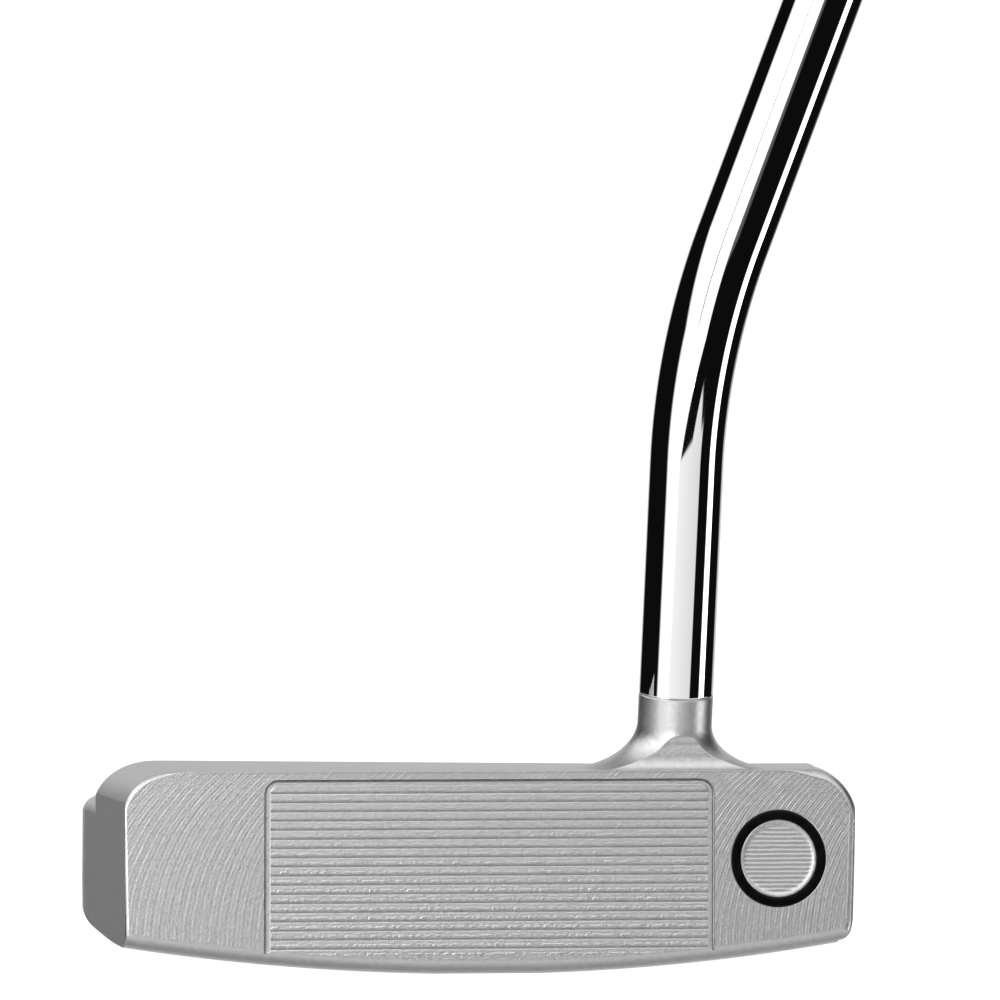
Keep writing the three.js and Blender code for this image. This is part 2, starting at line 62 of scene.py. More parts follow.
def box_mm(node):
    low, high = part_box(node)
    return np.array(low) / MM, np.array(high) / MM


def middle_mm(node):
    low, high = box_mm(node)
    return (low + high) / 2


head_low, head_high = box_mm("head_body")
TOE_X = head_low[0]
HEEL_X = head_high[0]
BACK_Y = head_high[1]
FACE_Y = -24.0  # the face plane at the ground
LOFT = math.radians(3)
SIDE_LEAN = 0.5
SIDE_TOP_Z = 21.9
TOP_Z = 27.05
TOE_CORNER = (7.0, 8.2)  # width of the rounded top corner, at the face and at the block's back
TOE_CORNER_HEIGHT = (5.0, 5.3)
HEEL_CORNER = (5.9, 2.2)
HEEL_CORNER_HEIGHT = (5.7, 2.2)
TOP_FALL = 0.68  # of the top's back edge, at the heel

SOLE_RADIUS = 320.0
HEEL_SOLE_RADIUS = 293.0
SOLE_LAND = 7.0
LEADING_RADIUS = 2.4
SOLE_EDGE_INSET = 4.0  # of the rounded edge under the sides, behind the face
SOLE_EDGE_RISE = 4.5
BACK_EDGE_RISE = 3.4  # more, towards the back

BLOCK_BACK_Y = -1.3
FLANGE_TOP_Z = 21.0
FLANGE_FRONT_Y = -12.0
FLANGE_STRAIGHT_Y = 6.0
RIM_WIDTH = 7.5
SPINE_HALF_WIDTH = 9.0
POCKET_FRONT_Y = 0.3
POCKET_FLOOR_Z = 11.0
POCKET_CORNER = 3.0

PANEL_HALF_WIDTH = 30.6
PANEL_TOP = 26.05
PANEL_BOTTOM = 1.2
BORDER_WIDTH = 0.95
BORDER_WALL = 0.2
BORDER_DEPTH = 0.14
BORDER_END = 2.95
BORDER_SLOT_WIDTH = 0.36
BORDER_SLOT_DEPTH = 0.62
BORDER_CORNER = 2.0
GROOVE_COUNT = 18
GROOVE_FIRST = 24.27
GROOVE_PITCH = 1.215
GROOVE_PROFILE = ((-0.24, 0), (-0.15, 0.14), (-0.05, 0.3), (0.05, 0.14), (0.12, 0.02), (0.3, 0))
RING_OUTER = 6.5
RING_INNER = 5.15
RING_DEPTH = 0.45
MARK_RADIUS = 4.75
MARK_DEPTH = 0.12

NECK_TOP = np.array([26.27, -17.5, 37.0])
NECK_AXIS = np.array([0.005, -0.123, 1.0])
NECK_AXIS /= np.linalg.norm(NECK_AXIS)
NECK_RADIUS = 4.97
NECK_ROOT = 12.0
FLARE_WIDTH = 5.4
FLARE_HEIGHT = 6.2
FLARE_SINK = 0.15
TOE_STRETCH = 0.95
HEEL_STRETCH = 0.8
POST_RADIUS = 3.75
POST_LENGTH = 25.0
FACET_Y = -21.62
FACET_BOTTOM = 29.2
FACET_TOP = 31.35
FACET_LEAN = 0.06

WEIGHT_RADIUS = 8.7
WEIGHT_SEAT_RADIUS = 9.0
WEIGHT_SEAT_DEPTH = 7.5
WEIGHT_X = 32.0  # of each weight's axis at the sole, either side of the middle
WEIGHT_Y = 6.0
WASHER_ROOM = 1.2
SOCKET_RADIUS = 3.2

SHAFT_RADIUS = 4.98
SHAFT_WALL = 0.55
SHAFT_STRAIGHT = 31.1
BEND_RADIUS = 84.0
BEND_GROWTH = 0.08  # the tube is a little thicker above the bend
SHAFT_AXIS = np.array([0.368, 0.0, 1.0])
SHAFT_AXIS /= np.linalg.norm(SHAFT_AXIS)
CLUB_LENGTH = 863.6
STEP_START = 128.0
STEP_SPACING = 38.0
STEP_COUNT = 8
STEP_GROWTH = 0.3
STEP_TAPER = 1.2

GRIP_LENGTH = 267.0
GRIP_LIP = 5.0
CAP_HEIGHT = 3.0
SKIN_THICKNESS = 1.3
BAND_BOTTOM = -302.0  # in the grip's frame, from the club's end
BAND_TOP = -278.0
STITCH_PITCH = 2.6
STITCH_REACH = 1.5
THREAD_RADIUS = 0.3

# Tool marks are finer than the meshes, so materials draw them. These are in metres.
CUTTER_RADIUS = 0.030
CUTTER_HEIGHT = 0.0035
TOE_ARC_PITCH = 0.00125
HEEL_ARC_PITCH = 0.00092
MARK_LINE_PITCH = 0.00058
LATHE_PITCH = 0.00022


# ---- Meshes ----


def make_object(name, vertices, faces, materials=(), smooth_angle=30.0):
    """An object from millimetre vertices, with its normals turned outwards."""
    mesh = bpy.data.meshes.new(name)
    mesh.from_pydata((np.asarray(vertices, dtype=float) * MM).tolist(), [], faces)
    work = bmesh.new()
    work.from_mesh(mesh)
    bmesh.ops.recalc_face_normals(work, faces=work.faces)
    work.to_mesh(mesh)
    work.free()
    obj = bpy.data.objects.new(name, mesh)
    bpy.context.scene.collection.objects.link(obj)
    for entry in materials:
        mesh.materials.append(entry)
    smooth(obj, smooth_angle)
    return obj


def smooth(obj, angle):
    mesh = obj.data
    mesh.polygons.foreach_set("use_smooth", [True] * len(mesh.polygons))
    mesh.set_sharp_from_angle(angle=math.radians(angle))


def bridge(count_around, ring_count, closed_along=False):
    """Quads between closed rings of points that follow each other in one vertex list."""
    faces = []
    for ring in range(ring_count if closed_along else ring_count - 1):
        here = ring * count_around
        above = ((ring + 1) % ring_count) * count_around
        for i in range(count_around):
            j = (i + 1) % count_around
            faces.append((here + i, here + j, above + j, above + i))
    return faces


def stack(rings):
    """A closed solid from rings with the same number of points, each an (n, 3) array."""
    count = len(rings[0])
    faces = bridge(count, len(rings))
    faces.append(tuple(range(count)))
    top = (len(rings) - 1) * count
    faces.append(tuple(range(top, top + count)))
    return np.vstack(rings), faces


def closed_tube(name, vertices, count_around, materials, smooth_angle):
    """An object from rings that go up the outside and come back down the inside."""
    faces = bridge(count_around, len(vertices) // count_around, closed_along=True)
    return make_object(name, vertices, faces, materials, smooth_angle)


def around(count):
    return np.arange(count) / count * 2 * math.pi


def polar(radius, angle, z):
    return np.column_stack([radius * np.cos(angle), radius * np.sin(angle), np.full(len(angle), z)])


def raised(outline, height):
    """An outline's points with a third coordinate, as one number or one a point."""
    return np.column_stack([outline, np.broadcast_to(height, len(outline))])


def outline_normals(outline):
    """Outward normals of a counter-clockwise outline, long enough to keep walls parallel at corners."""
    before = outline - np.roll(outline, 1, axis=0)
    after = np.roll(outline, -1, axis=0) - outline
    before /= np.linalg.norm(before, axis=1)[:, None]
    after /= np.linalg.norm(after, axis=1)[:, None]
    n1 = np.stack([before[:, 1], -before[:, 0]], axis=1)
    n2 = np.stack([after[:, 1], -after[:, 0]], axis=1)
    return (n1 + n2) / (1 + np.sum(n1 * n2, axis=1))[:, None]


def inset_ring(outline, inset):
    return outline - outline_normals(outline) * np.reshape(inset, (-1, 1))


def flat_stack(outline, levels):
    """A solid along Z from an outline in (x, y): each level is (inset, height), numbers or arrays."""
    return stack([raised(inset_ring(outline, inset), height) for inset, height in levels])


def line(start, end, count):
    """Points from start towards end, the end left out."""
    share = np.arange(count)[:, None] / count
    return np.array(start) + share * (np.array(end) - np.array(start))


def bezier(p0, p1, p2, p3, count):
    t = np.arange(count)[:, None] / count
    p0, p1, p2, p3 = map(np.array, (p0, p1, p2, p3))
    return (1 - t) ** 3 * p0 + 3 * t * (1 - t) ** 2 * p1 + 3 * t * t * (1 - t) * p2 + t**3 * p3


def curve_points(start, pull, end, count):
    """Points on a curve from start to end, both included, bent towards pull."""
    start, pull, end = map(np.array, (start, pull, end))
    shares = np.linspace(0, 1, count)
    return [tuple((1 - t) ** 2 * start + 2 * t * (1 - t) * pull + t * t * end) for t in shares]


def arc(centre, radii, start, end, count):
    """Points round an ellipse from one angle (degrees) towards another, the end left out."""
    angle = np.radians(start + np.arange(count) / count * (end - start))
    return np.column_stack(
        [centre[0] + radii[0] * np.cos(angle), centre[1] + radii[1] * np.sin(angle)]
    )


def circle(radius, count, centre=(0, 0)):
    return arc(centre, (radius, radius), 0, 360, count)


def rounding(radius, steps):
    """(inset, drop) pairs round a quarter circle, from the wall to the flat."""
    angle = np.linspace(0, math.pi / 2, steps + 1)
    return [(radius * (1 - math.cos(a)), radius * (1 - math.sin(a))) for a in angle]


def combine(target, other, operation):
    """Joins, cuts or intersects target with other, and removes other."""
    modifier = target.modifiers.new("cut", "BOOLEAN")
    modifier.operation = operation
    modifier.object = other
    modifier.solver = "MANIFOLD"
    evaluated = target.evaluated_get(bpy.context.evaluated_depsgraph_get())
    mesh = bpy.data.meshes.new_from_object(evaluated)
    target.modifiers.clear()
    old = target.data
    target.data = mesh
    mesh.name = target.name
    bpy.data.meshes.remove(old)
    used = other.data
    bpy.data.objects.remove(other)
    bpy.data.meshes.remove(used)


def tool(vertices, faces):
    return make_object("tool", vertices, faces)


# ---- Head ----


def face_y(z):
    return FACE_Y + z * math.tan(LOFT)


def camber_rise(x, radius):
    return np.maximum(0, np.sqrt(radius**2 - SOLE_LAND**2) - np.sqrt(radius**2 - x * x))


def sole_z(x):
    """The sole's height over the ground, which grows a little faster towards the heel."""
    x = np.asarray(x, dtype=float)
    return camber_rise(x, np.where(x > 0, HEEL_SOLE_RADIUS, SOLE_RADIUS))


def smoothstep(value, low, high):
    share = np.clip((value - low) / (high - low), 0, 1)
    return share * share * (3 - 2 * share)


def on_face(points):
    """Takes (x, up, out) in the face's own frame to the head's frame."""
    x, up, out = np.asarray(points, dtype=float).T
    y = FACE_Y + up * math.sin(LOFT) - out * math.cos(LOFT)
    return np.column_stack([x, y, up * math.cos(LOFT) + out * math.sin(LOFT)])


def head_outline(share):
    """The block as seen from the face, counter-clockwise from the bottom at the toe. `share` goes
    from 0 at the face to 1 at the block's back, where the heel's top corner is tighter."""
    bottom = -1.0
    foot = sole_z(HEEL_X)
    heel_foot = HEEL_X - SIDE_LEAN
    toe_foot = (TOE_X + SIDE_LEAN - bottom * SIDE_LEAN / SIDE_TOP_Z, bottom)

    def at(ends):
        return ends[0] + (ends[1] - ends[0]) * share

    heel, heel_height = at(HEEL_CORNER), at(HEEL_CORNER_HEIGHT)
    toe, toe_height = at(TOE_CORNER), at(TOE_CORNER_HEIGHT)
    toe_start = (TOE_X, TOP_Z - toe_height)
    heel_end = (HEEL_X, TOP_Z - heel_height)
    return np.vstack(
        [
            line(toe_foot, (heel_foot - 1.8, bottom), 60),
            line((heel_foot - 1.8, bottom), (heel_foot - 1.8, foot), 3),
            bezier(
                (heel_foot - 1.8, foot),
                (heel_foot - 0.5, foot + 0.2),
                (heel_foot, foot + 1.2),
                (heel_foot + 0.1, foot + 3),
                10,
            ),
            line((heel_foot + 0.1, foot + 3), heel_end, 14),
            bezier(
                heel_end,
                (HEEL_X - 0.08 * heel, TOP_Z - 0.5 * heel_height),
                (HEEL_X - 0.5 * heel, TOP_Z - 0.03),
                (HEEL_X - heel, TOP_Z),
                28,
            ),
            line((HEEL_X - heel, TOP_Z), (TOE_X + toe, TOP_Z), 60),
            bezier(
                (TOE_X + toe, TOP_Z),
                (TOE_X + 0.5 * toe, TOP_Z),
                (TOE_X + 0.1 * toe, TOP_Z - 0.38 * toe_height),
                toe_start,
                28,
            ),
            line(toe_start, toe_foot, 18),
        ]
    )


def front_edge_radius(outline):
    """How round the face's edge is: soft down the toe, crisp along the top, softest at the heel."""
    x = outline[:, 0]
    toe = 0.5 - 0.45 * smoothstep(x, TOE_X + 4, TOE_X + 9)
    return toe + smoothstep(x, HEEL_X - 9.5, HEEL_X - 5)


def top_fall(x, y):
    """How far the top has fallen: nothing at the face, little at the toe, most behind the heel."""
    return (0.12 + TOP_FALL * np.clip((x + 40) / 66, 0, 1)) * smoothstep(y, -20, BLOCK_BACK_Y)


def block():
    """The tall front block, with the face plane lofted and its edges rounded."""
    outline = head_outline(0.0)
    radius = front_edge_radius(outline)
    rings = []
    for angle in np.linspace(0, math.pi / 2, 7):
        ring = inset_ring(outline, radius * (1 - math.sin(angle)))
        depth = radius * (1 - math.cos(angle))
        rings.append(np.column_stack([ring[:, 0], face_y(ring[:, 1]) + depth, ring[:, 1]]))
    back_radius = 0.3
    back = BLOCK_BACK_Y - back_radius
    for share in np.linspace(0.1, 0.9, 9):
        ring = head_outline(share)
        front = face_y(ring[:, 1]) + radius
        y = front + (back - front) * share
        rings.append(np.column_stack([ring[:, 0], y, ring[:, 1]]))
    outline = head_outline(1.0)
    for angle in np.linspace(0, math.pi / 2, 6):
        ring = inset_ring(outline, back_radius * (1 - math.cos(angle)))
        y = np.full(len(ring), BLOCK_BACK_Y - back_radius * (1 - math.sin(angle)))
        rings.append(np.column_stack([ring[:, 0], y, ring[:, 1]]))
    for ring in rings:
        x, y, z = ring.T
        ring[:, 2] = z - top_fall(x, y) * smoothstep(z, 20, TOP_Z - 1)
    return tool(*stack(rings))


def plan_outline(front, grow):
    """The head from above: straight sides and a half-ellipse behind them, counter-clockwise."""
    middle = (TOE_X + HEEL_X) / 2
    half = (HEEL_X - TOE_X) / 2 + grow
    depth = BACK_Y + min(grow, 0) - FLANGE_STRAIGHT_Y
    return np.vstack(
        [
            line((middle - half, front), (middle + half, front), 40),
            line((middle + half, front), (middle + half, FLANGE_STRAIGHT_Y), 14),
            arc((middle, FLANGE_STRAIGHT_Y), (half, depth), 0, 180, 120),
            line((middle - half, FLANGE_STRAIGHT_Y), (middle - half, front), 14),
        ]
    )


def side_lean(z):
    return SIDE_LEAN * (SIDE_TOP_Z - np.asarray(z)) / SIDE_TOP_Z


def flange():
    """The low rear body up to its rounded top edge."""
    radius, stretch = 1.8, 1.45
    heights = np.linspace(1, FLANGE_TOP_Z - radius * stretch, 8)[:-1]
    levels = [(side_lean(z), z) for z in (-1.0, *heights)]
    for inset, drop in rounding(radius, 7):
        height = FLANGE_TOP_Z - drop * stretch
        levels.append((side_lean(height) + inset, height))
    return tool(*flat_stack(plan_outline(FLANGE_FRONT_Y, -0.02), levels))


def sole_edge():
    """A solid round the whole head whose lower edge is rounded, more and more towards the back."""
    outline = plan_outline(FACE_Y - 16, 0.04)
    fade = smoothstep(outline[:, 1], -22, 26)
    fade = np.maximum(fade, 0.02 + 0.42 * smoothstep(outline[:, 0], 20, 45))
    inset = SOLE_EDGE_INSET * fade
    rise = SOLE_EDGE_RISE * fade + BACK_EDGE_RISE * smoothstep(outline[:, 1], 10, 36)
    levels = [(inset, -3.0)]
    for angle in np.linspace(0, math.pi / 2, 12):
        share = 1 - math.sin(angle)
        x = inset_ring(outline, inset * share)[:, 0]
        height = sole_z(x) - 0.12 + rise * (1 - math.cos(angle))
        levels.append((inset * share + side_lean(height), height))
    levels.append((0, 90.0))
    return tool(*flat_stack(outline, levels))


def camber():
    """A solid above the sole: its underside is the camber, its front lower edge the leading edge."""
    profile = [(FACE_Y - 6, 90.0), (FACE_Y - 6, LEADING_RADIUS + 0.3)]
    proud = 0.03
    start = face_y(LEADING_RADIUS) - proud
    profile += [(start + inset, drop) for inset, drop in rounding(LEADING_RADIUS, 13)]
    is_front = np.arange(len(profile) + 2) < len(profile)
    profile += [(BACK_Y + 6, 0.0), (BACK_Y + 6, 90.0)]
    y, height = np.array(profile).T
    rings = []
    for x in (*np.linspace(-58, -SOLE_LAND, 42), *np.linspace(SOLE_LAND, 58, 42)):
        rise = sole_z(x)
        shift = np.where(is_front, rise * math.tan(LOFT), 0)
        z = np.where(height > 50, 90, height + rise)
        rings.append(np.column_stack([np.full(len(y), x), y + shift, z]))
    return tool(*stack(rings))


def neck():
    """Neck, flare and post along the leaning axis. The flare's foot is level with the block's top."""
    height = (NECK_TOP[2] - TOP_Z) / NECK_AXIS[2]
    profile = [(NECK_RADIUS + FLARE_WIDTH - 2, -NECK_ROOT)]
    for inset, drop in rounding(1.0, 21)[::-1]:
        profile.append((NECK_RADIUS + FLARE_WIDTH * inset, FLARE_HEIGHT * drop - FLARE_SINK))
    edge = 0.18
    profile += [
        (NECK_RADIUS, height - 2),
        (NECK_RADIUS, height - edge),
        (NECK_RADIUS - edge, height),
        (POST_RADIUS, height),
        (POST_RADIUS, height + POST_LENGTH - 0.5),
        (POST_RADIUS - 0.5, height + POST_LENGTH),
    ]
    foot = NECK_TOP - NECK_AXIS * height
    lean = Vector((0, 0, 1)).rotation_difference(Vector(NECK_AXIS))
    angle = around(128)
    rings = []
    for radius, along in profile:
        flare = max(radius - NECK_RADIUS, 0)
        cosine = np.cos(angle)
        stretch = np.where(cosine < 0, TOE_STRETCH, HEEL_STRETCH) * cosine**2
        reach = min(radius, NECK_RADIUS) + flare * (1 + stretch)
        share = float(smoothstep(along, 0, FLARE_HEIGHT))
        turn = np.array(Quaternion().slerp(lean, share).to_matrix())
        ring = foot + NECK_AXIS * along + polar(reach, angle, 0.0) @ turn.T
        if along < FLARE_HEIGHT:
            ring[:, 2] -= top_fall(ring[:, 0], ring[:, 1]) * (1 - share)
        rings.append(ring)
    return tool(*stack(rings))


def facet_limit():
    """Everything behind the flat on the front of the flare, and behind the face below it."""
    inside = 0.05
    profile = [(60, -3), (60, 90), (-60, 90), (-60, 50), (FACET_Y - 3, NECK_TOP[2] + 1)]
    lean = FACET_LEAN * (FACET_TOP - FACET_BOTTOM)
    profile += curve_points(
        (FACET_Y + lean - 1.2, FACET_TOP + 0.9),
        (FACET_Y + lean, FACET_TOP + 0.4),
        (FACET_Y + lean * 0.6, FACET_TOP - 1.0),
        12,
    )
    foot = (face_y(TOP_Z) + inside, TOP_Z + 0.02)
    profile += curve_points((FACET_Y, FACET_BOTTOM), (FACET_Y, TOP_Z + 0.1), foot, 14)
    profile.append((face_y(-3) + inside, -3))
    rings = [np.array([(x, y, z) for y, z in profile]) for x in (-70.0, 70.0)]
    return tool(*stack(rings))


def rear_pocket(side):
    """The pocket between spine and rim, with a rounded lip and floor."""
    middle = (TOE_X + HEEL_X) / 2
    half = (HEEL_X - TOE_X) / 2 - RIM_WIDTH
    depth = BACK_Y - RIM_WIDTH - FLANGE_STRAIGHT_Y
    inner = SPINE_HALF_WIDTH
    corner = POCKET_CORNER
    front = POCKET_FRONT_Y
    meet = math.acos((inner + corner) / half)
    meet_y = FLANGE_STRAIGHT_Y + depth * math.sqrt(1 - (inner / half) ** 2)
    turn_start = (half * math.cos(meet), FLANGE_STRAIGHT_Y + depth * math.sin(meet))
    spine_start = (inner, meet_y - corner)
    outline = np.vstack(
        [
            arc((inner + corner, front + corner), (corner, corner), 180, 270, 10),
            line((inner + corner, front), (half - corner, front), 12),
            arc((half - corner, front + corner), (corner, corner), 270, 360, 10),
            line((half, front + corner), (half, FLANGE_STRAIGHT_Y), 2),
            arc((0, FLANGE_STRAIGHT_Y), (half, depth), 0, math.degrees(meet), 60),
            bezier(turn_start, (inner + 1, meet_y + 0.15), (inner, meet_y - 0.6), spine_start, 10),
            line(spine_start, (inner, front + corner), 12),
        ]
    )
    outline[:, 0] += middle * side
    lip = 0.5
    floor = 1.6
    levels = [(-lip - 0.2, FLANGE_TOP_Z + 1)]
    levels += [(-lip + drop, FLANGE_TOP_Z - inset) for inset, drop in rounding(lip, 5)[::-1]]
    levels += [(inset, POCKET_FLOOR_Z + drop) for inset, drop in rounding(floor, 7)]
    if side < 0:
        outline = outline[::-1] * [-1, 1]
    return tool(*flat_stack(outline, levels))


def panel_cut():
    """Everything in front of the milled panel's lands and the shallow grooves between them."""
    profile = []
    skin = 0.012
    for i in range(GROOVE_COUNT):
        middle = GROOVE_FIRST - i * GROOVE_PITCH
        for down, depth in GROOVE_PROFILE:
            profile.append((middle - down, -skin - depth))
    end = PANEL_BOTTOM + 0.3
    profile = [(PANEL_TOP - BORDER_WIDTH + 0.05, -skin)] + profile + [(end, -skin)]
    profile += [(end - 0.01, 1.0), (profile[0][0] + 0.01, 1.0)]
    reach = PANEL_HALF_WIDTH - BORDER_WIDTH + 0.05
    rings = [on_face([(x, up, out) for up, out in profile]) for x in (-reach, reach)]
    return tool(*stack(rings))


def swept_cut(path, section, share=1.0):
    """A tool along a path on the face, from (outwards, out of the face) pairs. share scales its
    depth, as one number or one a point."""
    tangent = np.gradient(path, axis=0)
    tangent /= np.linalg.norm(tangent, axis=1)[:, None]
    side = np.column_stack([tangent[:, 1], -tangent[:, 0]])
    rings = []
    for point, normal, deep in zip(path, side, np.broadcast_to(share, len(path))):
        ring = [(*(point + normal * a), out * (deep if out < 0 else 1)) for a, out in section]
        rings.append(on_face(ring))
    return tool(*stack(rings))


def border_cut():
    """The channel that frames the panel and runs out into the leading edge."""
    half = PANEL_HALF_WIDTH - BORDER_WIDTH / 2
    top = PANEL_TOP - BORDER_WIDTH / 2
    corner = BORDER_CORNER - BORDER_WIDTH / 2
    path = np.vstack(
        [
            [(half, PANEL_BOTTOM), (half, BORDER_END)],
            line((half, BORDER_END + 0.35), (half, top - corner), 3),
            arc((half - corner, top - corner), (corner, corner), 0, 90, 12),
            line((half - corner, top), (-half + corner, top), 4),
            arc((-half + corner, top - corner), (corner, corner), 90, 180, 12),
            line((-half, top - corner), (-half, BORDER_END + 0.35), 3),
            [(-half, BORDER_END + 0.35), (-half, BORDER_END), (-half, PANEL_BOTTOM)],
        ]
    )
    edge = BORDER_WIDTH / 2
    slot, ledge = -BORDER_SLOT_DEPTH, -BORDER_DEPTH
    section = [(edge, 0.6), (edge, slot), (edge - 0.04, slot), (edge - BORDER_SLOT_WIDTH, ledge)]
    section += [(-edge + BORDER_WALL, ledge), (-edge, 0), (-edge, 0.6)]
    return swept_cut(path, section, np.where(path[:, 1] > BORDER_END + 0.1, 1.0, 0.02))


def edge_line_cut():
    """The fine line where the face cut stops short of the top and of the heel's rounded edge."""
    outline = head_outline(0.0)
    x, z = outline.T
    kept = (z > 7) & (x > TOE_X + 9)
    radius = front_edge_radius(outline)
    path = inset_ring(outline, radius + 0.1)[kept] / [1, math.cos(LOFT)]
    section = [(0.08, 0.5), (0.08, 0), (0.06, -0.16), (-0.06, -0.16), (-0.1, 0), (-0.1, 0.5)]
    return swept_cut(path, section)


def ring_section(levels):
    """A closed ring on the face round the mark: levels are (inset from both walls, out)."""
    centre = mark_centre()
    count = 160
    sections = [(RING_OUTER - inset, out) for inset, out in levels]
    sections += [(RING_INNER + inset, out) for inset, out in levels[::-1]]
    rings = [on_face(raised(circle(radius, count, centre), out)) for radius, out in sections]
    return np.vstack(rings), bridge(count, len(rings), closed_along=True)


def mark_centre():
    centre = middle_mm("face_ring_fill")
    return centre[0], centre[2] / math.cos(LOFT)


def ring_cut():
    lip = 0.07
    levels = [(-lip, 0.5), (-lip, 0.0), (0.0, -lip), (0.02, -RING_DEPTH)]
    return tool(*ring_section(levels))


def mark_cut():
    """The shallow dish inside the ring."""
    outline = circle(MARK_RADIUS, 128, mark_centre())
    levels = [(-0.25, 0.5), (-0.2, 0.0), (0.0, -0.08), (0.25, -MARK_DEPTH), (0.5, -MARK_DEPTH - 0.02)]
    return tool(*stack([on_face(raised(inset_ring(outline, inset), out)) for inset, out in levels]))


def weight_frame(node):
    """Origin on the sole under a weight, and the sole's slope there."""
    x = math.copysign(WEIGHT_X, middle_mm(node)[0])
    turn = Matrix.Rotation(-math.asin(x / SOLE_RADIUS), 3, "Y")
    return np.array([x, WEIGHT_Y, float(camber_rise(x, SOLE_RADIUS))]), np.array(turn)


def placed(vertices, origin, turn):
    return origin + np.asarray(vertices) @ turn.T


def weight_seat(node):
    outline = circle(WEIGHT_SEAT_RADIUS, 96)
    levels = [(-0.4, -2), (-0.35, -0.05), (0, 0.35), (0, WEIGHT_SEAT_DEPTH)]
    vertices, faces = flat_stack(outline, levels)
    return tool(placed(vertices, *weight_frame(node)), faces)


def sight_line_outline():
    """A slot with round ends, just outside the CAD's paint line."""
    low, high = box_mm("sight_line_fill")
    half = (high[0] - low[0]) / 2 + 0.12
    front, back = low[1] - 0.1 + half, high[1] + 0.1 - half
    return np.vstack(
        [
            arc((0, front), (half, half), 180, 360, 16),
            line((half, front), (half, back), 4),
            arc((0, back), (half, half), 0, 180, 16),
            line((-half, back), (-half, front), 4),
        ]
    )


def sight_line_cut():
    below_top = [(-0.12, -0.6), (-0.12, 0.0), (0, 0.12), (0, 0.45)]
    levels = [(inset, FLANGE_TOP_Z - depth) for inset, depth in below_top]
    return tool(*flat_stack(sight_line_outline(), levels))


def head_body(materials):
    head = block()
    combine(head, flange(), "UNION")
    combine(head, sole_edge(), "INTERSECT")
    combine(head, camber(), "INTERSECT")
    root = neck()
    combine(root, facet_limit(), "INTERSECT")
    combine(head, root, "UNION")
    cuts = [
        rear_pocket(1),
        rear_pocket(-1),
        panel_cut(),
        border_cut(),
        edge_line_cut(),
        ring_cut(),
        mark_cut(),
        weight_seat("toe_weight"),
        weight_seat("heel_weight"),
        sight_line_cut(),
    ]
    for cut in cuts:
        combine(head, cut, "DIFFERENCE")
    head.name = "milled_head"
    head.data.materials.clear()
    for entry in materials:
        head.data.materials.append(entry)
    face_normal = Vector((0, -math.cos(LOFT), math.sin(LOFT)))
    for polygon in head.data.polygons:
        centre = polygon.center / MM
        lofted = centre.y < face_y(centre.z) + 0.5 and centre.z < TOP_Z
        polygon.material_index = 1 if lofted and polygon.normal.dot(face_normal) > 0.985 else 0
    smooth(head, 24)
    weighted = head.modifiers.new("weighted_normals", "WEIGHTED_NORMAL")
    weighted.keep_sharp = True
    return head


# ---- Shaft ----


def bend_frame():
    """Side that the bend turns to, bend angle and the bend's far end."""
    side = SHAFT_AXIS - NECK_AXIS * SHAFT_AXIS.dot(NECK_AXIS)
    side /= np.linalg.norm(side)
    angle = math.acos(NECK_AXIS.dot(SHAFT_AXIS))
    end = (
        NECK_TOP
        + NECK_AXIS * (SHAFT_STRAIGHT + BEND_RADIUS * math.sin(angle))
        + side * BEND_RADIUS * (1 - math.cos(angle))
    )
    return side, angle, end


def shaft_place(along):
    """Point, side and cross directions on the shaft's axis at a distance from the neck."""
    side, angle, _ = bend_frame()
    turned = min(max((along - SHAFT_STRAIGHT) / BEND_RADIUS, 0), angle)
    beyond = along - (SHAFT_STRAIGHT + turned * BEND_RADIUS if turned > 0 else 0)
    direction = NECK_AXIS * math.cos(turned) + side * math.sin(turned)
    across = side * math.cos(turned) - NECK_AXIS * math.sin(turned)
    point = NECK_TOP.copy()
    if turned > 0:
        point += NECK_AXIS * (SHAFT_STRAIGHT + BEND_RADIUS * math.sin(turned))
        point += side * BEND_RADIUS * (1 - math.cos(turned))
    return point + direction * beyond, across, np.cross(direction, across)


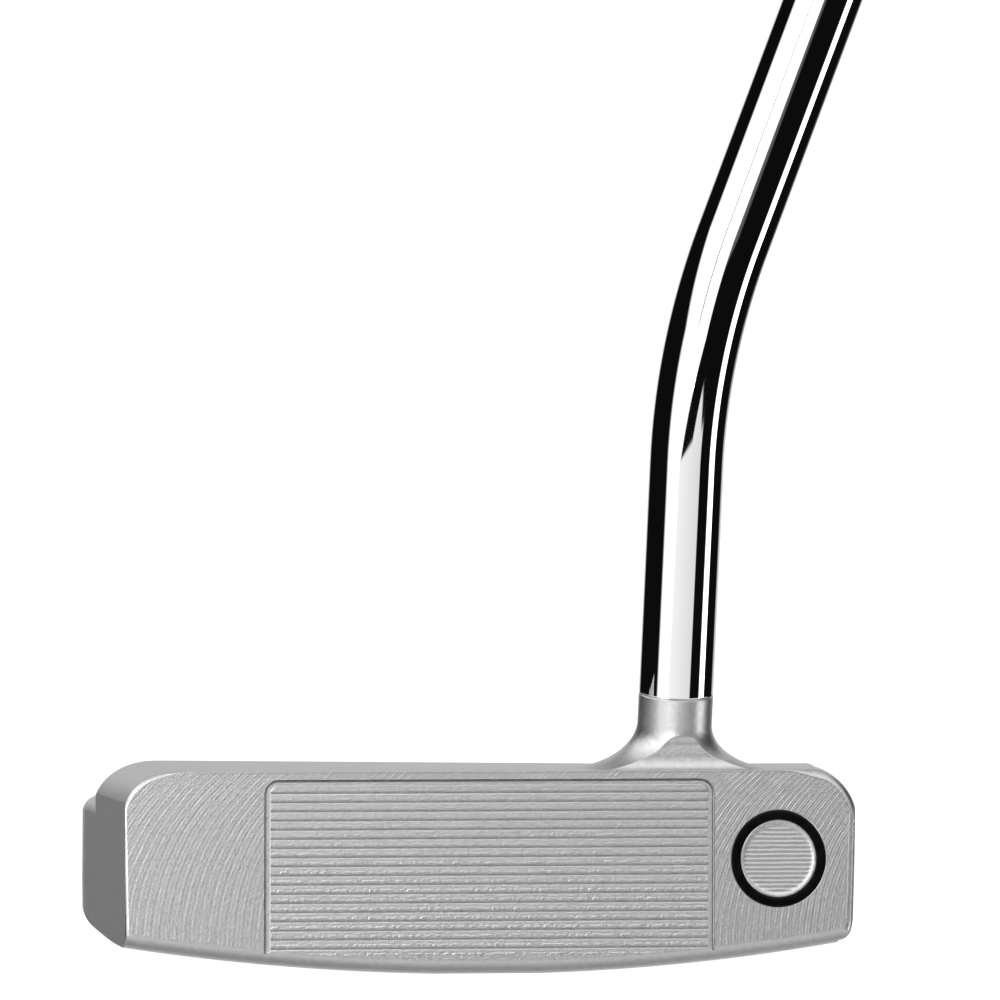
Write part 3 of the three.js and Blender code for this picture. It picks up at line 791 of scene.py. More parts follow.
def shaft_tube(materials):
    _, angle, end = bend_frame()
    upper = CLUB_LENGTH - end[2] / SHAFT_AXIS[2]
    length = SHAFT_STRAIGHT + BEND_RADIUS * angle + upper - CAP_HEIGHT - 0.4
    edge = 0.22
    outer = [(SHAFT_RADIUS - edge, 0.02), (SHAFT_RADIUS - 0.3 * edge, 0.02 + 0.3 * edge)]
    outer += [(SHAFT_RADIUS, 0.02 + edge), (SHAFT_RADIUS, 0.05 + edge), (SHAFT_RADIUS, 0.15 + edge)]
    outer += [(SHAFT_RADIUS, s) for s in np.linspace(1, SHAFT_STRAIGHT, 8)]
    outer += [
        (SHAFT_RADIUS + BEND_GROWTH * t, SHAFT_STRAIGHT + BEND_RADIUS * angle * t)
        for t in np.linspace(0.02, 1, 48)
    ]
    radius = SHAFT_RADIUS + BEND_GROWTH
    for i in range(STEP_COUNT):
        height = STEP_START + i * STEP_SPACING
        outer.append((radius, height - 0.4))
        outer.append((radius + 0.03, height))
        radius += STEP_GROWTH
        outer.append((radius - 0.03, height + STEP_TAPER))
        outer.append((radius, height + STEP_TAPER + 0.4))
    outer.append((radius, length))
    bore = SHAFT_RADIUS - SHAFT_WALL
    inner = [(radius - SHAFT_WALL, length)]
    inner += [(radius - SHAFT_WALL, STEP_START + STEP_COUNT * STEP_SPACING), (bore, STEP_START)]
    inner += [(bore, SHAFT_STRAIGHT + BEND_RADIUS * angle * t) for t in np.linspace(1, 0, 13)]
    inner.append((bore, 0.02))
    turn = around(128)
    rings = []
    for radius, along in outer + inner:
        point, across, cross = shaft_place(along)
        ring = np.outer(np.cos(turn), across) + np.outer(np.sin(turn), cross)
        rings.append(point + radius * ring)
    return closed_tube("chromed_shaft", np.vstack(rings), len(turn), materials, 40)


# ---- Small pieces of the head ----


def ring_enamel(materials):
    levels = [(0.03, -RING_DEPTH + 0.02), (0.03, -0.09), (0.12, -0.055), (0.3, -0.045)]
    return make_object("ring_enamel", *ring_section(levels), materials, 50)


def sight_line_paint(materials):
    below_top = [(0.01, 0.43), (0.01, 0.14), (0.12, 0.1), (0.4, 0.09)]
    levels = [(inset, FLANGE_TOP_Z - depth) for inset, depth in below_top]
    return make_object("sight_line_paint", *flat_stack(sight_line_outline(), levels), materials, 50)


def weight_plug(node, materials):
    """A turned plug with a chamfered rim, a raised land and a hexagon socket."""
    top = WEIGHT_SEAT_DEPTH - WASHER_ROOM
    levels = [(0.5, top), (0.02, top - 0.5), (0.02, 0.9), (0.12, 0.55), (0.7, 0.32), (1.9, 0.3)]
    levels += [(2.1, 0.5), (2.4, 0.5), (2.6, 0.3), (4.6, 0.3)]
    vertices, faces = flat_stack(circle(WEIGHT_RADIUS, 96), levels)
    origin, turn = weight_frame(node)
    plug = make_object(node + "_plug", placed(vertices, origin, turn), faces, materials, 20)
    levels = [(-0.5, -1), (-0.3, 0.3), (0, 0.6), (0, 3.6), (1.2, 4.4)]
    socket, socket_faces = flat_stack(circle(SOCKET_RADIUS, 6), levels)
    combine(plug, tool(placed(socket, origin, turn), socket_faces), "DIFFERENCE")
    smooth(plug, 20)
    return plug


# ---- Grip ----

GRIP_STATIONS = np.array(
    [
        # z, half-width, reach of the flat top, reach underneath
        (0, 12.8, 11.6, 16.6),
        (-22, 13.2, 11.8, 17.2),
        (-60, 12.9, 11.6, 14.6),
        (-110, 12.5, 11.3, 13.2),
        (-190, 11.6, 10.8, 12.0),
        (-267, 10.7, 10.3, 10.8),
    ]
)


def grip_sizes(z):
    """Half-width, top and underside reach at a height, on a smooth curve through the stations."""
    z = np.clip(z, GRIP_STATIONS[-1, 0], 0)
    heights = GRIP_STATIONS[:, 0]
    index = int(np.clip(np.sum(heights > z) - 1, 0, len(heights) - 2))
    t = (z - heights[index]) / (heights[index + 1] - heights[index])
    rows = [GRIP_STATIONS[np.clip(index + k, 0, len(heights) - 1), 1:] for k in (-1, 0, 1, 2)]
    a, b, c, d = rows
    start, end = (c - a) / 2, (d - b) / 2
    return (
        (2 * t**3 - 3 * t**2 + 1) * b
        + (t**3 - 2 * t**2 + t) * start
        + (3 * t**2 - 2 * t**3) * c
        + (t**3 - t**2) * end
    )


def grip_radius(angle, z):
    """The grip's outer radius: a flat top, away from the seam, and a round underside."""
    half, top, under = grip_sizes(z)
    cosine, sine = np.cos(angle), np.sin(angle)
    is_top = cosine < 0
    power = np.where(is_top, 3.4, 2.0)
    reach = np.where(is_top, top, under)
    total = np.abs(cosine / reach) ** power + np.abs(sine / half) ** power
    return total ** (-1 / power)


def grip_place(points):
    """Takes points in the grip's frame (x to the seam, z up the shaft) to the head's frame."""
    _, _, end = bend_frame()
    upper = CLUB_LENGTH - end[2] / SHAFT_AXIS[2]
    top = end + SHAFT_AXIS * upper
    x_axis = np.cross([0, 1, 0], SHAFT_AXIS)
    x_axis /= np.linalg.norm(x_axis)
    turn = np.column_stack([x_axis, [0, 1, 0], SHAFT_AXIS])
    return top + np.asarray(points) @ turn.T


def grip_rings(levels, angle):
    """Rings round the grip: each level is (distance inside the grip's surface, z)."""
    return [polar(grip_radius(angle, z) - inset, angle, z) for inset, z in levels]


def grip_piece(name, rings, materials, angle):
    return closed_tube(name, grip_place(np.vstack(rings)), len(rings[0]), materials, angle)


def grip_wrap(materials):
    """The polyurethane wrap, with its long edges rolled in at the seam underneath."""
    low = -GRIP_LENGTH + GRIP_LIP
    high = -CAP_HEIGHT - 0.1
    angle = around(240)
    from_seam = np.minimum(angle, 2 * math.pi - angle)
    levels = [(0.45, low), (0.12, low + 0.25), (0.0, low + 0.7)]
    levels += [(0.0, z) for z in np.linspace(low + 2, high - 2, 220)]
    levels += [(0.0, high - 0.7), (0.12, high - 0.25), (0.45, high)]
    rings = []
    for inset, z in levels:
        radius = grip_radius(angle, z)
        valley = 0.75 * np.exp(-((from_seam * radius / 0.55) ** 2))
        swell = 0.16 * np.exp(-(((from_seam * radius - 1.5) / 0.8) ** 2))
        rings.append(polar(radius - inset - valley + swell, angle, z))
    rings += grip_rings([(SKIN_THICKNESS, z) for z in np.linspace(high, low, 40)], angle)
    return grip_piece("grip_wrap", rings, materials, 50)


def tube_along(points, radius, sides):
    """A closed tube with rounded ends along a short path."""
    points = np.asarray(points, dtype=float)
    tangent = np.gradient(points, axis=0)
    tangent /= np.linalg.norm(tangent, axis=1)[:, None]
    helper = np.array([0.3, 0.1, 1.0])  # any direction that no path follows
    turn = around(sides)
    rings = []
    last = len(points) - 1
    for i, (point, along) in enumerate(zip(points, tangent)):
        u = np.cross(along, helper)
        u /= np.linalg.norm(u)
        v = np.cross(along, u)
        size = radius * (0.55 if i in (0, last) else 1)
        rings.append(point + size * (np.outer(np.cos(turn), u) + np.outer(np.sin(turn), v)))
    return stack(rings)


def seam_stitches(materials):
    """Cross stitches that lace the wrap's two edges together, as separate lengths of thread."""
    low = -GRIP_LENGTH + GRIP_LIP + 3
    high = -CAP_HEIGHT - 4
    vertices, faces = [], []
    start = 0
    for i in range(int((high - low) / STITCH_PITCH)):
        base = low + i * STITCH_PITCH
        for way in (-1, 1):
            points = []
            for t in np.linspace(-1, 1, 9):
                z = base + STITCH_PITCH * (t + 1) / 2
                bow = 0.1 * way * (1 - t * t)
                lift = 0.32 * (1 - t**4) - 0.12
                points.append((grip_sizes(z)[2] + lift + bow, way * STITCH_REACH * t, z))
            ring_vertices, ring_faces = tube_along(points, THREAD_RADIUS, 8)
            vertices.append(grip_place(ring_vertices))
            faces += [tuple(start + k for k in face) for face in ring_faces]
            start += len(ring_vertices)
    return make_object("seam_stitches", np.vstack(vertices), faces, materials, 60)


def foam_core(materials):
    """The foam core: its lower lip shows as a collar below the wrap."""
    low = -GRIP_LENGTH
    top = low + GRIP_LIP
    high = -CAP_HEIGHT - 0.3
    bore = SHAFT_RADIUS + STEP_COUNT * STEP_GROWTH + 0.5
    under_wrap = SKIN_THICKNESS + 0.2
    outer = [(1.6, low), (0.5, low + 0.15), (0.1, low + 0.6), (0.0, low + 1.2)]
    outer += [(0.0, top - 2.2), (0.3, top - 1.9), (0.3, top - 1.5), (0.0, top - 1.2)]
    outer += [(0.0, top - 0.4), (0.3, top - 0.1), (under_wrap, top - 0.1)]
    outer += [(under_wrap, z) for z in np.linspace(top + 0.5, high, 20)]
    angle = around(160)
    rings = grip_rings(outer, angle)
    rings += [polar(bore, angle, z) for z in np.linspace(high, low, 20)]
    return grip_piece("grip_foam", rings, materials, 40)


def butt_cap(materials):
    """The end cap: domed rim, shallow dish and the vent hole."""
    outer = [(0.3, -CAP_HEIGHT), (0.05, -CAP_HEIGHT + 0.3), (0.0, -CAP_HEIGHT + 0.8)]
    outer += [(inset, -drop) for inset, drop in rounding(1.2, 6)]
    outer += [(2.6, 0.0), (3.0, -0.35), (3.4, -0.4)]
    dish = [(4.2, -0.4), (4.0, -0.1), (3.2, -0.1), (1.4, -0.3), (1.2, -0.5), (1.2, -CAP_HEIGHT)]
    angle = around(160)
    rings = grip_rings(outer, angle) + [polar(radius, angle, z) for radius, z in dish]
    return grip_piece("butt_cap", rings, materials, 40)


def band_sleeve(materials):
    """The plain foil band, with its overlapped end as a low step down one side."""
    radius = SHAFT_RADIUS + STEP_COUNT * STEP_GROWTH
    angle = around(160)
    step = 0.05 * smoothstep(angle, math.radians(200), math.radians(202))
    levels = [(0.05, BAND_BOTTOM), (0.16, BAND_BOTTOM + 0.1), (0.16, BAND_TOP - 0.1), (0.05, BAND_TOP)]
    rings = [polar(radius + thickness + step, angle, z) for thickness, z in levels]
    rings += [polar(radius + 0.02, angle, z) for z in (BAND_TOP, BAND_BOTTOM)]
    return grip_piece("band_sleeve", rings, materials, 40)


# ---- Materials ----


class Nodes:
    """A short way to add and join shader nodes."""

    def __init__(self, tree):
        self.tree = tree

    def add(self, kind, **values):
        node = self.tree.nodes.new(kind)
        for key, value in values.items():
            setattr(node, key, value)
        return node

    def link(self, output, socket):
        self.tree.links.new(output, socket)

    def math(self, operation, *inputs):
        node = self.add("ShaderNodeMath", operation=operation)
        for socket, value in zip(node.inputs, inputs):
            if isinstance(value, (int, float)):
                socket.default_value = value
            else:
                self.link(value, socket)
        return node.outputs[0]

    def chain(self, operation, first, *others):
        for other in others:
            first = self.math(operation, first, other)
        return first

    def times(self, *values):
        return self.chain("MULTIPLY", *values)

    def plus(self, *values):
        return self.chain("ADD", *values)

    def most(self, *values):
        return self.chain("MAXIMUM", *values)

    def minus(self, first, second):
        return self.math("SUBTRACT", first, second)

    def flip(self, share):
        return self.minus(1.0, share)

    def axes(self, vector):
        split = self.add("ShaderNodeSeparateXYZ")
        self.link(vector, split.inputs[0])
        return split.outputs

    def stretched(self, vector, scale):
        mapping = self.add("ShaderNodeMapping")
        mapping.inputs["Scale"].default_value = scale
        self.link(vector, mapping.inputs["Vector"])
        return mapping.outputs[0]

    def noise(self, vector, scale, detail=2.0, roughness=0.5):
        node = self.add("ShaderNodeTexNoise")
        node.inputs["Scale"].default_value = scale
        node.inputs["Detail"].default_value = detail
        node.inputs["Roughness"].default_value = roughness
        self.link(vector, node.inputs["Vector"])
        return node.outputs["Fac"]

    def remap(self, value, low, high, to_low, to_high, smooth=False):
        node = self.add("ShaderNodeMapRange")
        node.interpolation_type = "SMOOTHSTEP" if smooth else "LINEAR"
        numbers = {"From Min": low, "From Max": high, "To Min": to_low, "To Max": to_high}
        for name, number in numbers.items():
            node.inputs[name].default_value = number
        self.link(value, node.inputs["Value"])
        return node.outputs["Result"]


class Finish(Nodes):
    """A Principled material. Constants go on the shader's own sockets."""

    def __init__(self, name, metallic, **constants):
        self.material = bpy.data.materials.new(name)
        self.material.use_nodes = True
        super().__init__(self.material.node_tree)
        self.inputs = self.tree.nodes["Principled BSDF"].inputs
        self.inputs["Metallic"].default_value = metallic
        for key, value in constants.items():
            self.inputs[key.replace("_", " ")].default_value = value
        self.position = self.add("ShaderNodeTexCoord").outputs["Object"]

    def tone(self, factor, dark, light):
        mix = self.add("ShaderNodeMix", data_type="RGBA")
        for name, value in (("A", dark), ("B", light)):
            socket = [s for s in mix.inputs if s.name == name and s.type == "RGBA"][0]
            socket.default_value = (*value, 1)
        self.link(factor, mix.inputs["Factor"])
        result = [s for s in mix.outputs if s.type == "RGBA"][0]
        self.link(result, self.inputs["Base Color"])

    def roughness(self, value, low, high, start=0.3):
        self.link(self.remap(value, start, 0.7, low, high), self.inputs["Roughness"])

    def relief(self, height, strength, distance):
        bump = self.add("ShaderNodeBump")
        bump.inputs["Strength"].default_value = strength
        bump.inputs["Distance"].default_value = distance
        self.link(height, bump.inputs["Height"])
        self.link(bump.outputs["Normal"], self.inputs["Normal"])


def blasted_metal():
    """Fine bead-blasted satin over milled metal."""
    finish = Finish("milled_head", 1.0)
    coarse = finish.noise(finish.position, 1400, 3.0, 0.6)
    fine = finish.noise(finish.position, 4200, 2.0, 0.7)
    finish.tone(finish.remap(coarse, 0.3, 0.7, 0, 1), (0.59, 0.59, 0.59), (0.67, 0.67, 0.67))
    finish.roughness(fine, 0.34, 0.46)
    finish.relief(finish.plus(finish.times(fine, 0.6), coarse), 0.25, 0.00012)
    return finish.material


def tool_arcs(finish, x, z, pitch):
    """Ridges left by a wide cutter: thin arcs of one radius, a pitch apart along x."""
    rise = finish.minus(z, CUTTER_HEIGHT)
    inside = finish.minus(CUTTER_RADIUS * CUTTER_RADIUS, finish.times(rise, rise))
    reach = finish.math("SQRT", finish.most(inside, 0.0))
    phase = finish.times(finish.plus(x, reach), 2 * math.pi / pitch)
    wave = finish.times(finish.plus(finish.math("SINE", phase), 1.0), 0.5)
    fine = finish.math("SINE", finish.times(phase, 2.13))
    return finish.plus(wave, finish.times(fine, 0.42))


def land_marks(finish, x, z, outside):
    """The panel's lands: short dashes all over, and broken flecks along the foot of each land."""
    stretched = finish.stretched(finish.position, (1800.0, 1.0, 3400.0))
    dashes = finish.remap(finish.noise(stretched, 1.0, 1.0), 0.5, 0.72, 0.0, 0.4)
    stretched = finish.stretched(finish.position, (1500.0, 1.0, 900.0))
    flecks = finish.remap(finish.noise(stretched, 1.0, 1.0), 0.44, 0.58, 0.0, 1.0)
    pitch = GROOVE_PITCH * math.cos(LOFT) * MM
    below_first = finish.minus(GROOVE_FIRST * math.cos(LOFT) * MM, z)
    across_land = finish.math("FRACT", finish.times(below_first, 1 / pitch))
    foot = finish.times(
        finish.remap(across_land, 0.50, 0.62, 0, 1, smooth=True),
        finish.remap(across_land, 0.72, 0.88, 1, 0, smooth=True),
    )
    lower = finish.remap(z, 0.012, 0.021, 1.0, 0.35)
    in_panel = finish.math(
        "LESS_THAN", finish.math("ABSOLUTE", x), (PANEL_HALF_WIDTH - BORDER_WIDTH) * MM
    )
    return finish.plus(
        finish.times(dashes, finish.flip(outside)),
        finish.times(flecks, foot, lower, in_panel, 0.7),
    )


def milled_face():
    """The face: cutter arcs outside the panel, dashes along its lands, cross lines in the mark."""
    finish = Finish("milled_face", 1.0)
    x, _, z = finish.axes(finish.position)
    moved = finish.plus(x, finish.times(finish.noise(finish.position, 110, 2.0), 0.0008))
    heel_side = finish.math("GREATER_THAN", x, 0.0)
    arcs = finish.plus(
        finish.times(tool_arcs(finish, moved, z, TOE_ARC_PITCH), finish.flip(heel_side)),
        finish.times(tool_arcs(finish, moved, z, HEEL_ARC_PITCH), heel_side, 1.7),
    )
    outside = finish.most(
        finish.math("GREATER_THAN", finish.math("ABSOLUTE", x), PANEL_HALF_WIDTH * MM),
        finish.math("GREATER_THAN", z, PANEL_TOP * MM),
    )
    breaks = finish.remap(finish.noise(finish.position, 520, 3.0, 0.7), 0.36, 0.66, 0.05, 0.28)

    mark_x, mark_up = mark_centre()
    away_x = finish.minus(x, mark_x * MM)
    away_z = finish.minus(z, mark_up * math.cos(LOFT) * MM)
    squared = finish.plus(finish.times(away_x, away_x), finish.times(away_z, away_z))
    in_mark = finish.math("LESS_THAN", squared, (MARK_RADIUS * MM) ** 2)
    drift = finish.times(finish.noise(finish.position, 300, 1.0), 0.00015)
    lines = finish.math("SINE", finish.times(finish.plus(z, drift), 2 * math.pi / MARK_LINE_PITCH))

    grain = finish.noise(finish.position, 4200, 2.0, 0.6)
    height = finish.plus(
        finish.times(arcs, breaks, outside, finish.flip(in_mark)),
        land_marks(finish, x, z, outside),
        finish.times(lines, in_mark, 0.35),
        finish.times(grain, 0.55),
    )
    finish.relief(height, 1.0, 0.00003)
    tint = finish.remap(finish.noise(finish.position, 1800, 3.0), 0.3, 0.7, 0, 1)
    finish.tone(tint, (0.61, 0.61, 0.61), (0.66, 0.66, 0.66))
    finish.roughness(grain, 0.32, 0.42)
    return finish.material


def chrome():
    """Bright chrome with faint handling haze."""
    finish = Finish("shaft_chrome", 1.0)
    haze = finish.noise(finish.position, 60, 3.0)
    finish.tone(finish.remap(haze, 0.3, 0.7, 0, 1), (0.90, 0.90, 0.905), (0.94, 0.94, 0.945))
    finish.roughness(haze, 0.02, 0.045, 0.35)
    return finish.material


def enamel(name):
    finish = Finish(name, 0.0, Specular_IOR_Level=0.12)
    mottle = finish.noise(finish.position, 700, 2.0)
    finish.tone(mottle, (0.001, 0.001, 0.0011), (0.003, 0.003, 0.0032))
    finish.roughness(mottle, 0.16, 0.26)
    finish.relief(mottle, 0.2, 0.00004)
    return finish.material


def turned_steel():
    """Steel with the fine rings that a lathe leaves, round each weight's own axis."""
    finish = Finish("weight_steel", 1.0)
    x, y, _ = finish.axes(finish.position)
    x = finish.minus(finish.math("ABSOLUTE", x), WEIGHT_X * MM)
    y = finish.minus(y, WEIGHT_Y * MM)
    radius = finish.math("SQRT", finish.plus(finish.times(x, x), finish.times(y, y)))
    rings = finish.math("SINE", finish.times(radius, 2 * math.pi / LATHE_PITCH))
    grain = finish.noise(finish.position, 900, 2.0)
    finish.relief(finish.plus(rings, grain), 0.4, 0.00001)
    finish.tone(grain, (0.42, 0.42, 0.43), (0.56, 0.56, 0.57))
    finish.roughness(grain, 0.22, 0.34)
    return finish.material


def grip_rubber(name, dark, light, scale, rough, depth):
    """Soft matte polymer with a fine pebbled surface, painted darker in the hollows between pebbles."""
    finish = Finish(name, 0.0, Specular_IOR_Level=0.4)
    cells = finish.add("ShaderNodeTexVoronoi", feature="SMOOTH_F1")
    cells.inputs["Scale"].default_value = scale
    cells.inputs["Smoothness"].default_value = 0.6
    finish.link(finish.position, cells.inputs["Vector"])
    pebble_height_and_shade = finish.flip(cells.outputs["Distance"])
    cloud = finish.noise(finish.position, 90, 3.0)
    finish.relief(pebble_height_and_shade, 0.6, depth)
    # painted shade: the pebbles' tops are lighter and the hollows between them darker; the cloud adds a
    # random tone
    finish.tone(finish.times(finish.remap(cloud, 0.3, 0.7, 0.2, 1.0), pebble_height_and_shade), dark, light)
    finish.roughness(cloud, rough - 0.07, rough + 0.07)
    return finish.material


def thread():
    """Twisted thread: fine slanting ridges, painted darker in the grooves between them."""
    finish = Finish("grip_thread", 0.0, Roughness=0.75)
    wave = finish.add("ShaderNodeTexWave", wave_type="BANDS", bands_direction="DIAGONAL")
    wave.inputs["Scale"].default_value = 900
    wave.inputs["Distortion"].default_value = 1.0
    finish.link(finish.position, wave.inputs["Vector"])
    finish.relief(wave.outputs["Fac"], 0.5, 0.00008)
    # painted shade: the colour follows the ridges, darker in the grooves between them
    finish.tone(wave.outputs["Fac"], (0.30, 0.30, 0.31), (0.55, 0.55, 0.56))
    return finish.material


def plain_mottled(name, dark, light, rough, scale=400.0):
    """A quiet finish for pieces that are hidden when the club is whole."""
    finish = Finish(name, 0.0)
    mottle = finish.noise(finish.position, scale, 3.0)
    finish.tone(mottle, dark, light)
    finish.roughness(mottle, rough - 0.08, rough + 0.08)
    finish.relief(mottle, 0.3, 0.00005)
    return finish.material


def foil():
    """Dark foil band with faint brushing along the shaft."""
    finish = Finish("band_foil", 0.6)
    brush = finish.noise(finish.stretched(finish.position, (1.0, 1.0, 0.05)), 2500, 2.0)
    finish.tone(brush, (0.03, 0.03, 0.033), (0.07, 0.07, 0.075))
    finish.roughness(brush, 0.22, 0.38)
    return finish.material


# ---- Studio ----

CAMERA_AZIMUTH = math.radians(-12)
CAMERA_ELEVATION = math.radians(3.6)
CAMERA_ROLL = math.radians(0.76)
CAMERA_TARGET = Vector((1.37, -20.0, 63.0)) * MM
CAMERA_DISTANCE = 2.0
CAMERA_LENS = 541.8
FLOOR_REACH = 200000.0

BACKDROP = 1.05
LEFT_LIGHT = 1.15
REAR_LIGHT = 0.85
GROUND_LIGHT = 0.85
LEAST_LIGHT = 0.004
TABLE_END = -24.0  # elevation in degrees, with the ground below it
BOXES = (
    # strength; azimuth from and to, each with the width of its soft edge; elevation from, to, width
    (3.4, (65.0, 3.5), (83.5, 1.5), (-26.0, -4.0, 3.0)),  # strip on the right
    (1.3, (-7.0, 3.0), (52.0, 6.0), (8.0, 60.0, 3.0)),  # over the camera
    (0.1, (-6.0, 2.0), (4.0, 2.0), (0.8, 5.0, 0.6)),  # glint between the left light and the gap
    (1.4, (-150.0, 8.0), (-84.0, 8.0), (28.0, 70.0, 6.0)),  # high on the toe's side
    (2.4, (-84.0, 6.0), (-44.0, 6.0), (28.0, 60.0, 4.0)),  # above the left light
    (2.4, (-84.0, 6.0), (-44.0, 6.0), (-60.0, -27.0, 3.0)),  # below the left light
)


def camera():
    """A long lens from the toe's side of the face, a little above the ground."""
    level = Vector((math.cos(CAMERA_AZIMUTH), math.sin(CAMERA_AZIMUTH), 0))
    reach = math.cos(CAMERA_ELEVATION)
    back = Vector(
        (
            math.sin(CAMERA_AZIMUTH) * reach,
            -math.cos(CAMERA_AZIMUTH) * reach,
            math.sin(CAMERA_ELEVATION),
        )
    )
    right = level * math.cos(CAMERA_ROLL) + back.cross(level) * math.sin(CAMERA_ROLL)
    data = bpy.data.cameras.new("camera")
    data.sensor_width = 36
    data.lens = CAMERA_LENS
    data.clip_start, data.clip_end = 0.1, 50
    obj = bpy.data.objects.new("camera", data)
    obj.location = CAMERA_TARGET + back * CAMERA_DISTANCE
    obj.rotation_mode = "QUATERNION"
    obj.rotation_quaternion = Matrix((right, back.cross(right), back)).transposed().to_quaternion()
    bpy.context.scene.collection.objects.link(obj)
    bpy.context.scene.camera = obj


def floor():
    signs = ((-1, -1), (1, -1), (1, 1), (-1, 1))
    corners = [(FLOOR_REACH * x, FLOOR_REACH * y, 0) for x, y in signs]
    obj = make_object("floor", corners, [(0, 1, 2, 3)])
    finish = Finish("floor", 0.0, Roughness=0.9, Specular_IOR_Level=0.0, Emission_Strength=0.97)
    finish.inputs["Emission Color"].default_value = (1, 1, 1, 1)
    speck = finish.noise(finish.position, 3.0, 2.0)
    finish.tone(speck, (0.20, 0.20, 0.20), (0.22, 0.22, 0.22))
    obj.data.materials.append(finish.material)
    obj.visible_glossy = False
    obj.visible_shadow = False


class Sky(Nodes):
    """Soft-edged regions of the directions round the head, in degrees."""

    def over(self, value, at, width):
        """0 below `at`, 1 above it, over a soft edge; `at` may vary."""
        return self.remap(self.minus(value, at), -width, width, 0, 1, smooth=True)

    def under(self, value, at, width):
        return self.flip(self.over(value, at, width))

    def band(self, value, low, high, width):
        return self.times(self.over(value, low, width), self.under(value, high, width))


def world():
    """White studio as seen in reflections: a wide softbox on the left, the pale table in front of
    the head, the boxes listed above, one behind, a ceiling and the ground, with dark gaps between.
    The backdrop itself is white."""
    scene_world = bpy.data.worlds.new("studio")
    scene_world.use_nodes = True
    bpy.context.scene.world = scene_world
    sky = Sky(scene_world.node_tree)
    x, y, z = sky.axes(sky.add("ShaderNodeTexCoord").outputs["Generated"])
    degrees = 180 / math.pi
    azimuth = sky.times(sky.math("ARCTAN2", x, sky.times(y, -1.0)), degrees)
    behind = sky.times(sky.math("ARCTAN2", x, y), degrees)
    elevation = sky.times(sky.math("ARCSINE", z), degrees)

    rise = sky.most(sky.minus(elevation, 7.5), 0.0)
    left_edge = sky.minus(-74.5, sky.times(rise, 1.5))
    drop = sky.most(sky.minus(-5.7, elevation), 0.0)
    right_edge = sky.minus(-6.5, sky.times(drop, 2.75))
    left_panel = sky.times(
        sky.over(azimuth, left_edge, 3.5),
        sky.under(azimuth, right_edge, 0.9),
        sky.band(elevation, TABLE_END, 55.0, 3.0),
    )
    seam = sky.times(sky.band(azimuth, -37.5, -32.5, 1.0), sky.over(elevation, 2.0, 2.0))
    left_light = sky.times(left_panel, sky.minus(LEFT_LIGHT, sky.times(seam, 0.7)))

    apart = sky.math("ABSOLUTE", sky.minus(azimuth, 12.0))
    table_top = sky.most(sky.minus(-12.2, sky.times(apart, 0.25)), -15.2)
    table = sky.times(
        sky.under(elevation, table_top, 0.35),
        sky.over(azimuth, left_edge, 3.5),
        sky.under(azimuth, 30.3, 0.9),
        sky.over(elevation, TABLE_END, 3.0),
    )
    table_seam = sky.band(azimuth, -48.5, -45.5, 1.0)
    table_tone = sky.times(
        sky.remap(azimuth, -50, 30, 1.02, 0.76), sky.flip(sky.times(table_seam, 0.4))
    )

    rear = sky.times(sky.band(behind, -14.0, 48.0, 7.0), sky.band(elevation, -8.0, 50.0, 6.0))
    ceiling = sky.remap(elevation, 28, 62, 0, 0.8, smooth=True)
    ground = sky.times(
        sky.under(elevation, TABLE_END, 2.0), sky.remap(elevation, -80, -26, 0.32, 1.0, smooth=True)
    )
    lights = [left_light, sky.times(table, table_tone), ceiling]
    lights += [sky.times(rear, REAR_LIGHT), sky.times(ground, GROUND_LIGHT)]
    for strength, start, end, heights in BOXES:
        across = sky.times(sky.over(azimuth, *start), sky.under(azimuth, *end))
        lights.append(sky.times(across, sky.band(elevation, *heights), strength))
    shade = sky.times(sky.band(behind, -15.0, 35.0, 6.0), sky.band(elevation, 24.0, 55.0, 5.0))
    total = sky.times(sky.plus(sky.most(*lights), LEAST_LIGHT), sky.flip(sky.times(shade, 0.8)))

    camera_ray = sky.add("ShaderNodeLightPath").outputs["Is Camera Ray"]
    background = scene_world.node_tree.nodes["Background"]
    background.inputs["Color"].default_value = (1, 1, 1, 1)
    strength = sky.most(total, sky.times(camera_ray, BACKDROP))
    sky.link(strength, background.inputs["Strength"])


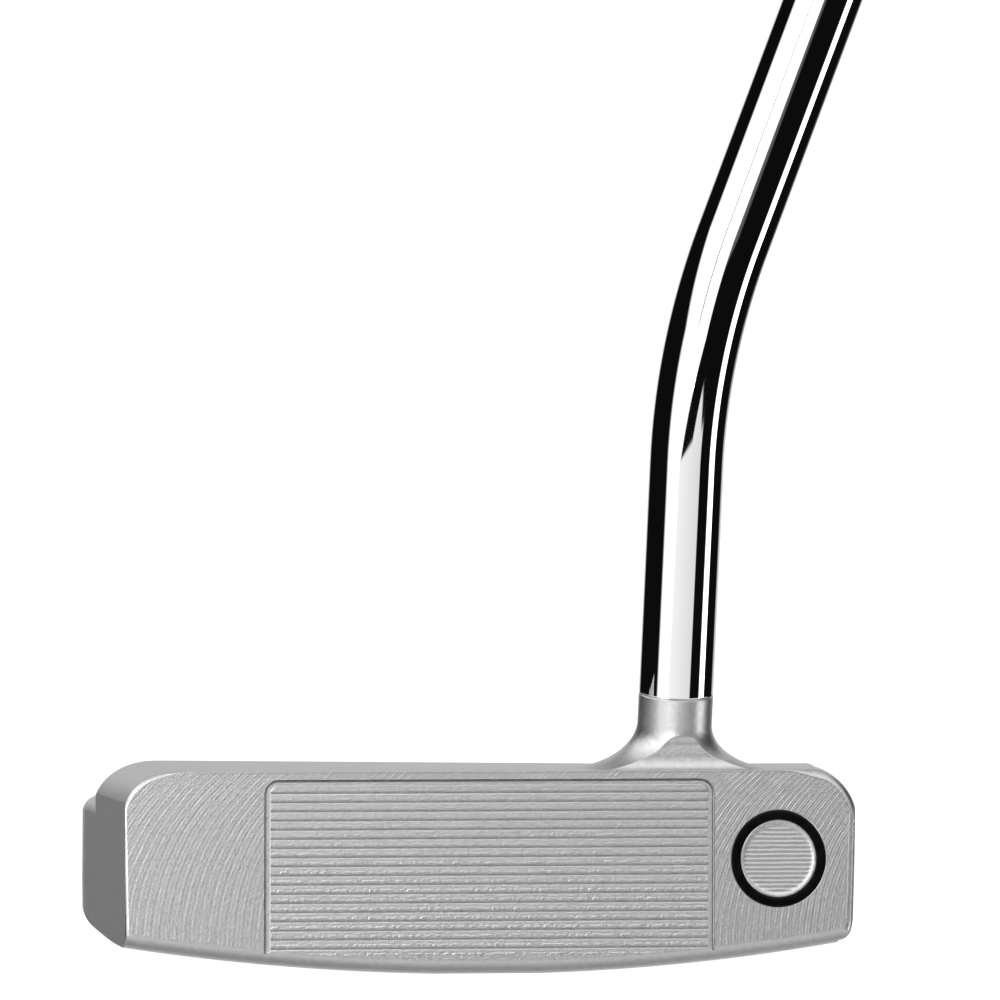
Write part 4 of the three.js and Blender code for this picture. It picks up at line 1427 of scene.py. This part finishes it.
def softbox(at, target, size, power):
    data = bpy.data.lights.new("fill", "AREA")
    data.shape = "RECTANGLE"
    data.size, data.size_y = size
    data.energy = power
    obj = bpy.data.objects.new("fill", data)
    obj.location = at
    obj.rotation_mode = "QUATERNION"
    obj.rotation_quaternion = (Vector(target) - Vector(at)).to_track_quat("-Z", "Y")
    bpy.context.scene.collection.objects.link(obj)


# ---- Assembly ----


def add(piece, slot, *nodes):
    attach(piece, "root")
    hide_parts(*nodes)


def carry(node, material):
    """A CAD node that is right as it is gets its finish."""
    obj = frame["nodes"][node]
    obj.data.materials.clear()
    obj.data.materials.append(material)


bpy.context.scene.view_settings.view_transform = "Standard"
camera()
floor()
world()
softbox((-0.175, -0.478, 0.12), (-0.02, -0.02, 0.02), (0.15, 0.25), 0.7)

add(head_body([blasted_metal(), milled_face()]), "milled_head", "head_body")
add(ring_enamel([enamel("ring_enamel")]), "ring_enamel", "face_ring_fill")
add(sight_line_paint([enamel("sight_paint")]), "sight_paint", "sight_line_fill")
steel = turned_steel()
for weight in ("toe_weight", "heel_weight"):
    add(weight_plug(weight, [steel]), "weight_steel", weight)
nylon = plain_mottled("washer_nylon", (0.62, 0.61, 0.58), (0.74, 0.73, 0.70), 0.55)
carry("toe_weight_washer", nylon)
carry("heel_weight_washer", nylon)
carry("spud_epoxy", plain_mottled("bond_epoxy", (0.30, 0.27, 0.22), (0.40, 0.37, 0.31), 0.45))
carry("grip_tape", plain_mottled("tape_cloth", (0.52, 0.46, 0.33), (0.64, 0.57, 0.42), 0.8, 1200.0))

add(shaft_tube([chrome()]), "shaft_chrome", "shaft")
add(band_sleeve([foil()]), "band_foil", "shaft_band")
skin = grip_rubber("grip_polyurethane", (0.016, 0.016, 0.017), (0.035, 0.036, 0.038), 1100, 0.55, 0.00018)
foam = grip_rubber("grip_foam", (0.010, 0.010, 0.011), (0.022, 0.022, 0.024), 1800, 0.8, 0.00008)
rubber = grip_rubber("cap_rubber", (0.009, 0.009, 0.010), (0.018, 0.018, 0.019), 2400, 0.6, 0.00005)
add(grip_wrap([skin]), "grip_polyurethane", "grip_skin")
add(foam_core([foam]), "grip_foam", "grip_core")
add(seam_stitches([thread()]), "grip_thread", "grip_stitching")
add(butt_cap([rubber]), "cap_rubber", "grip_cap")
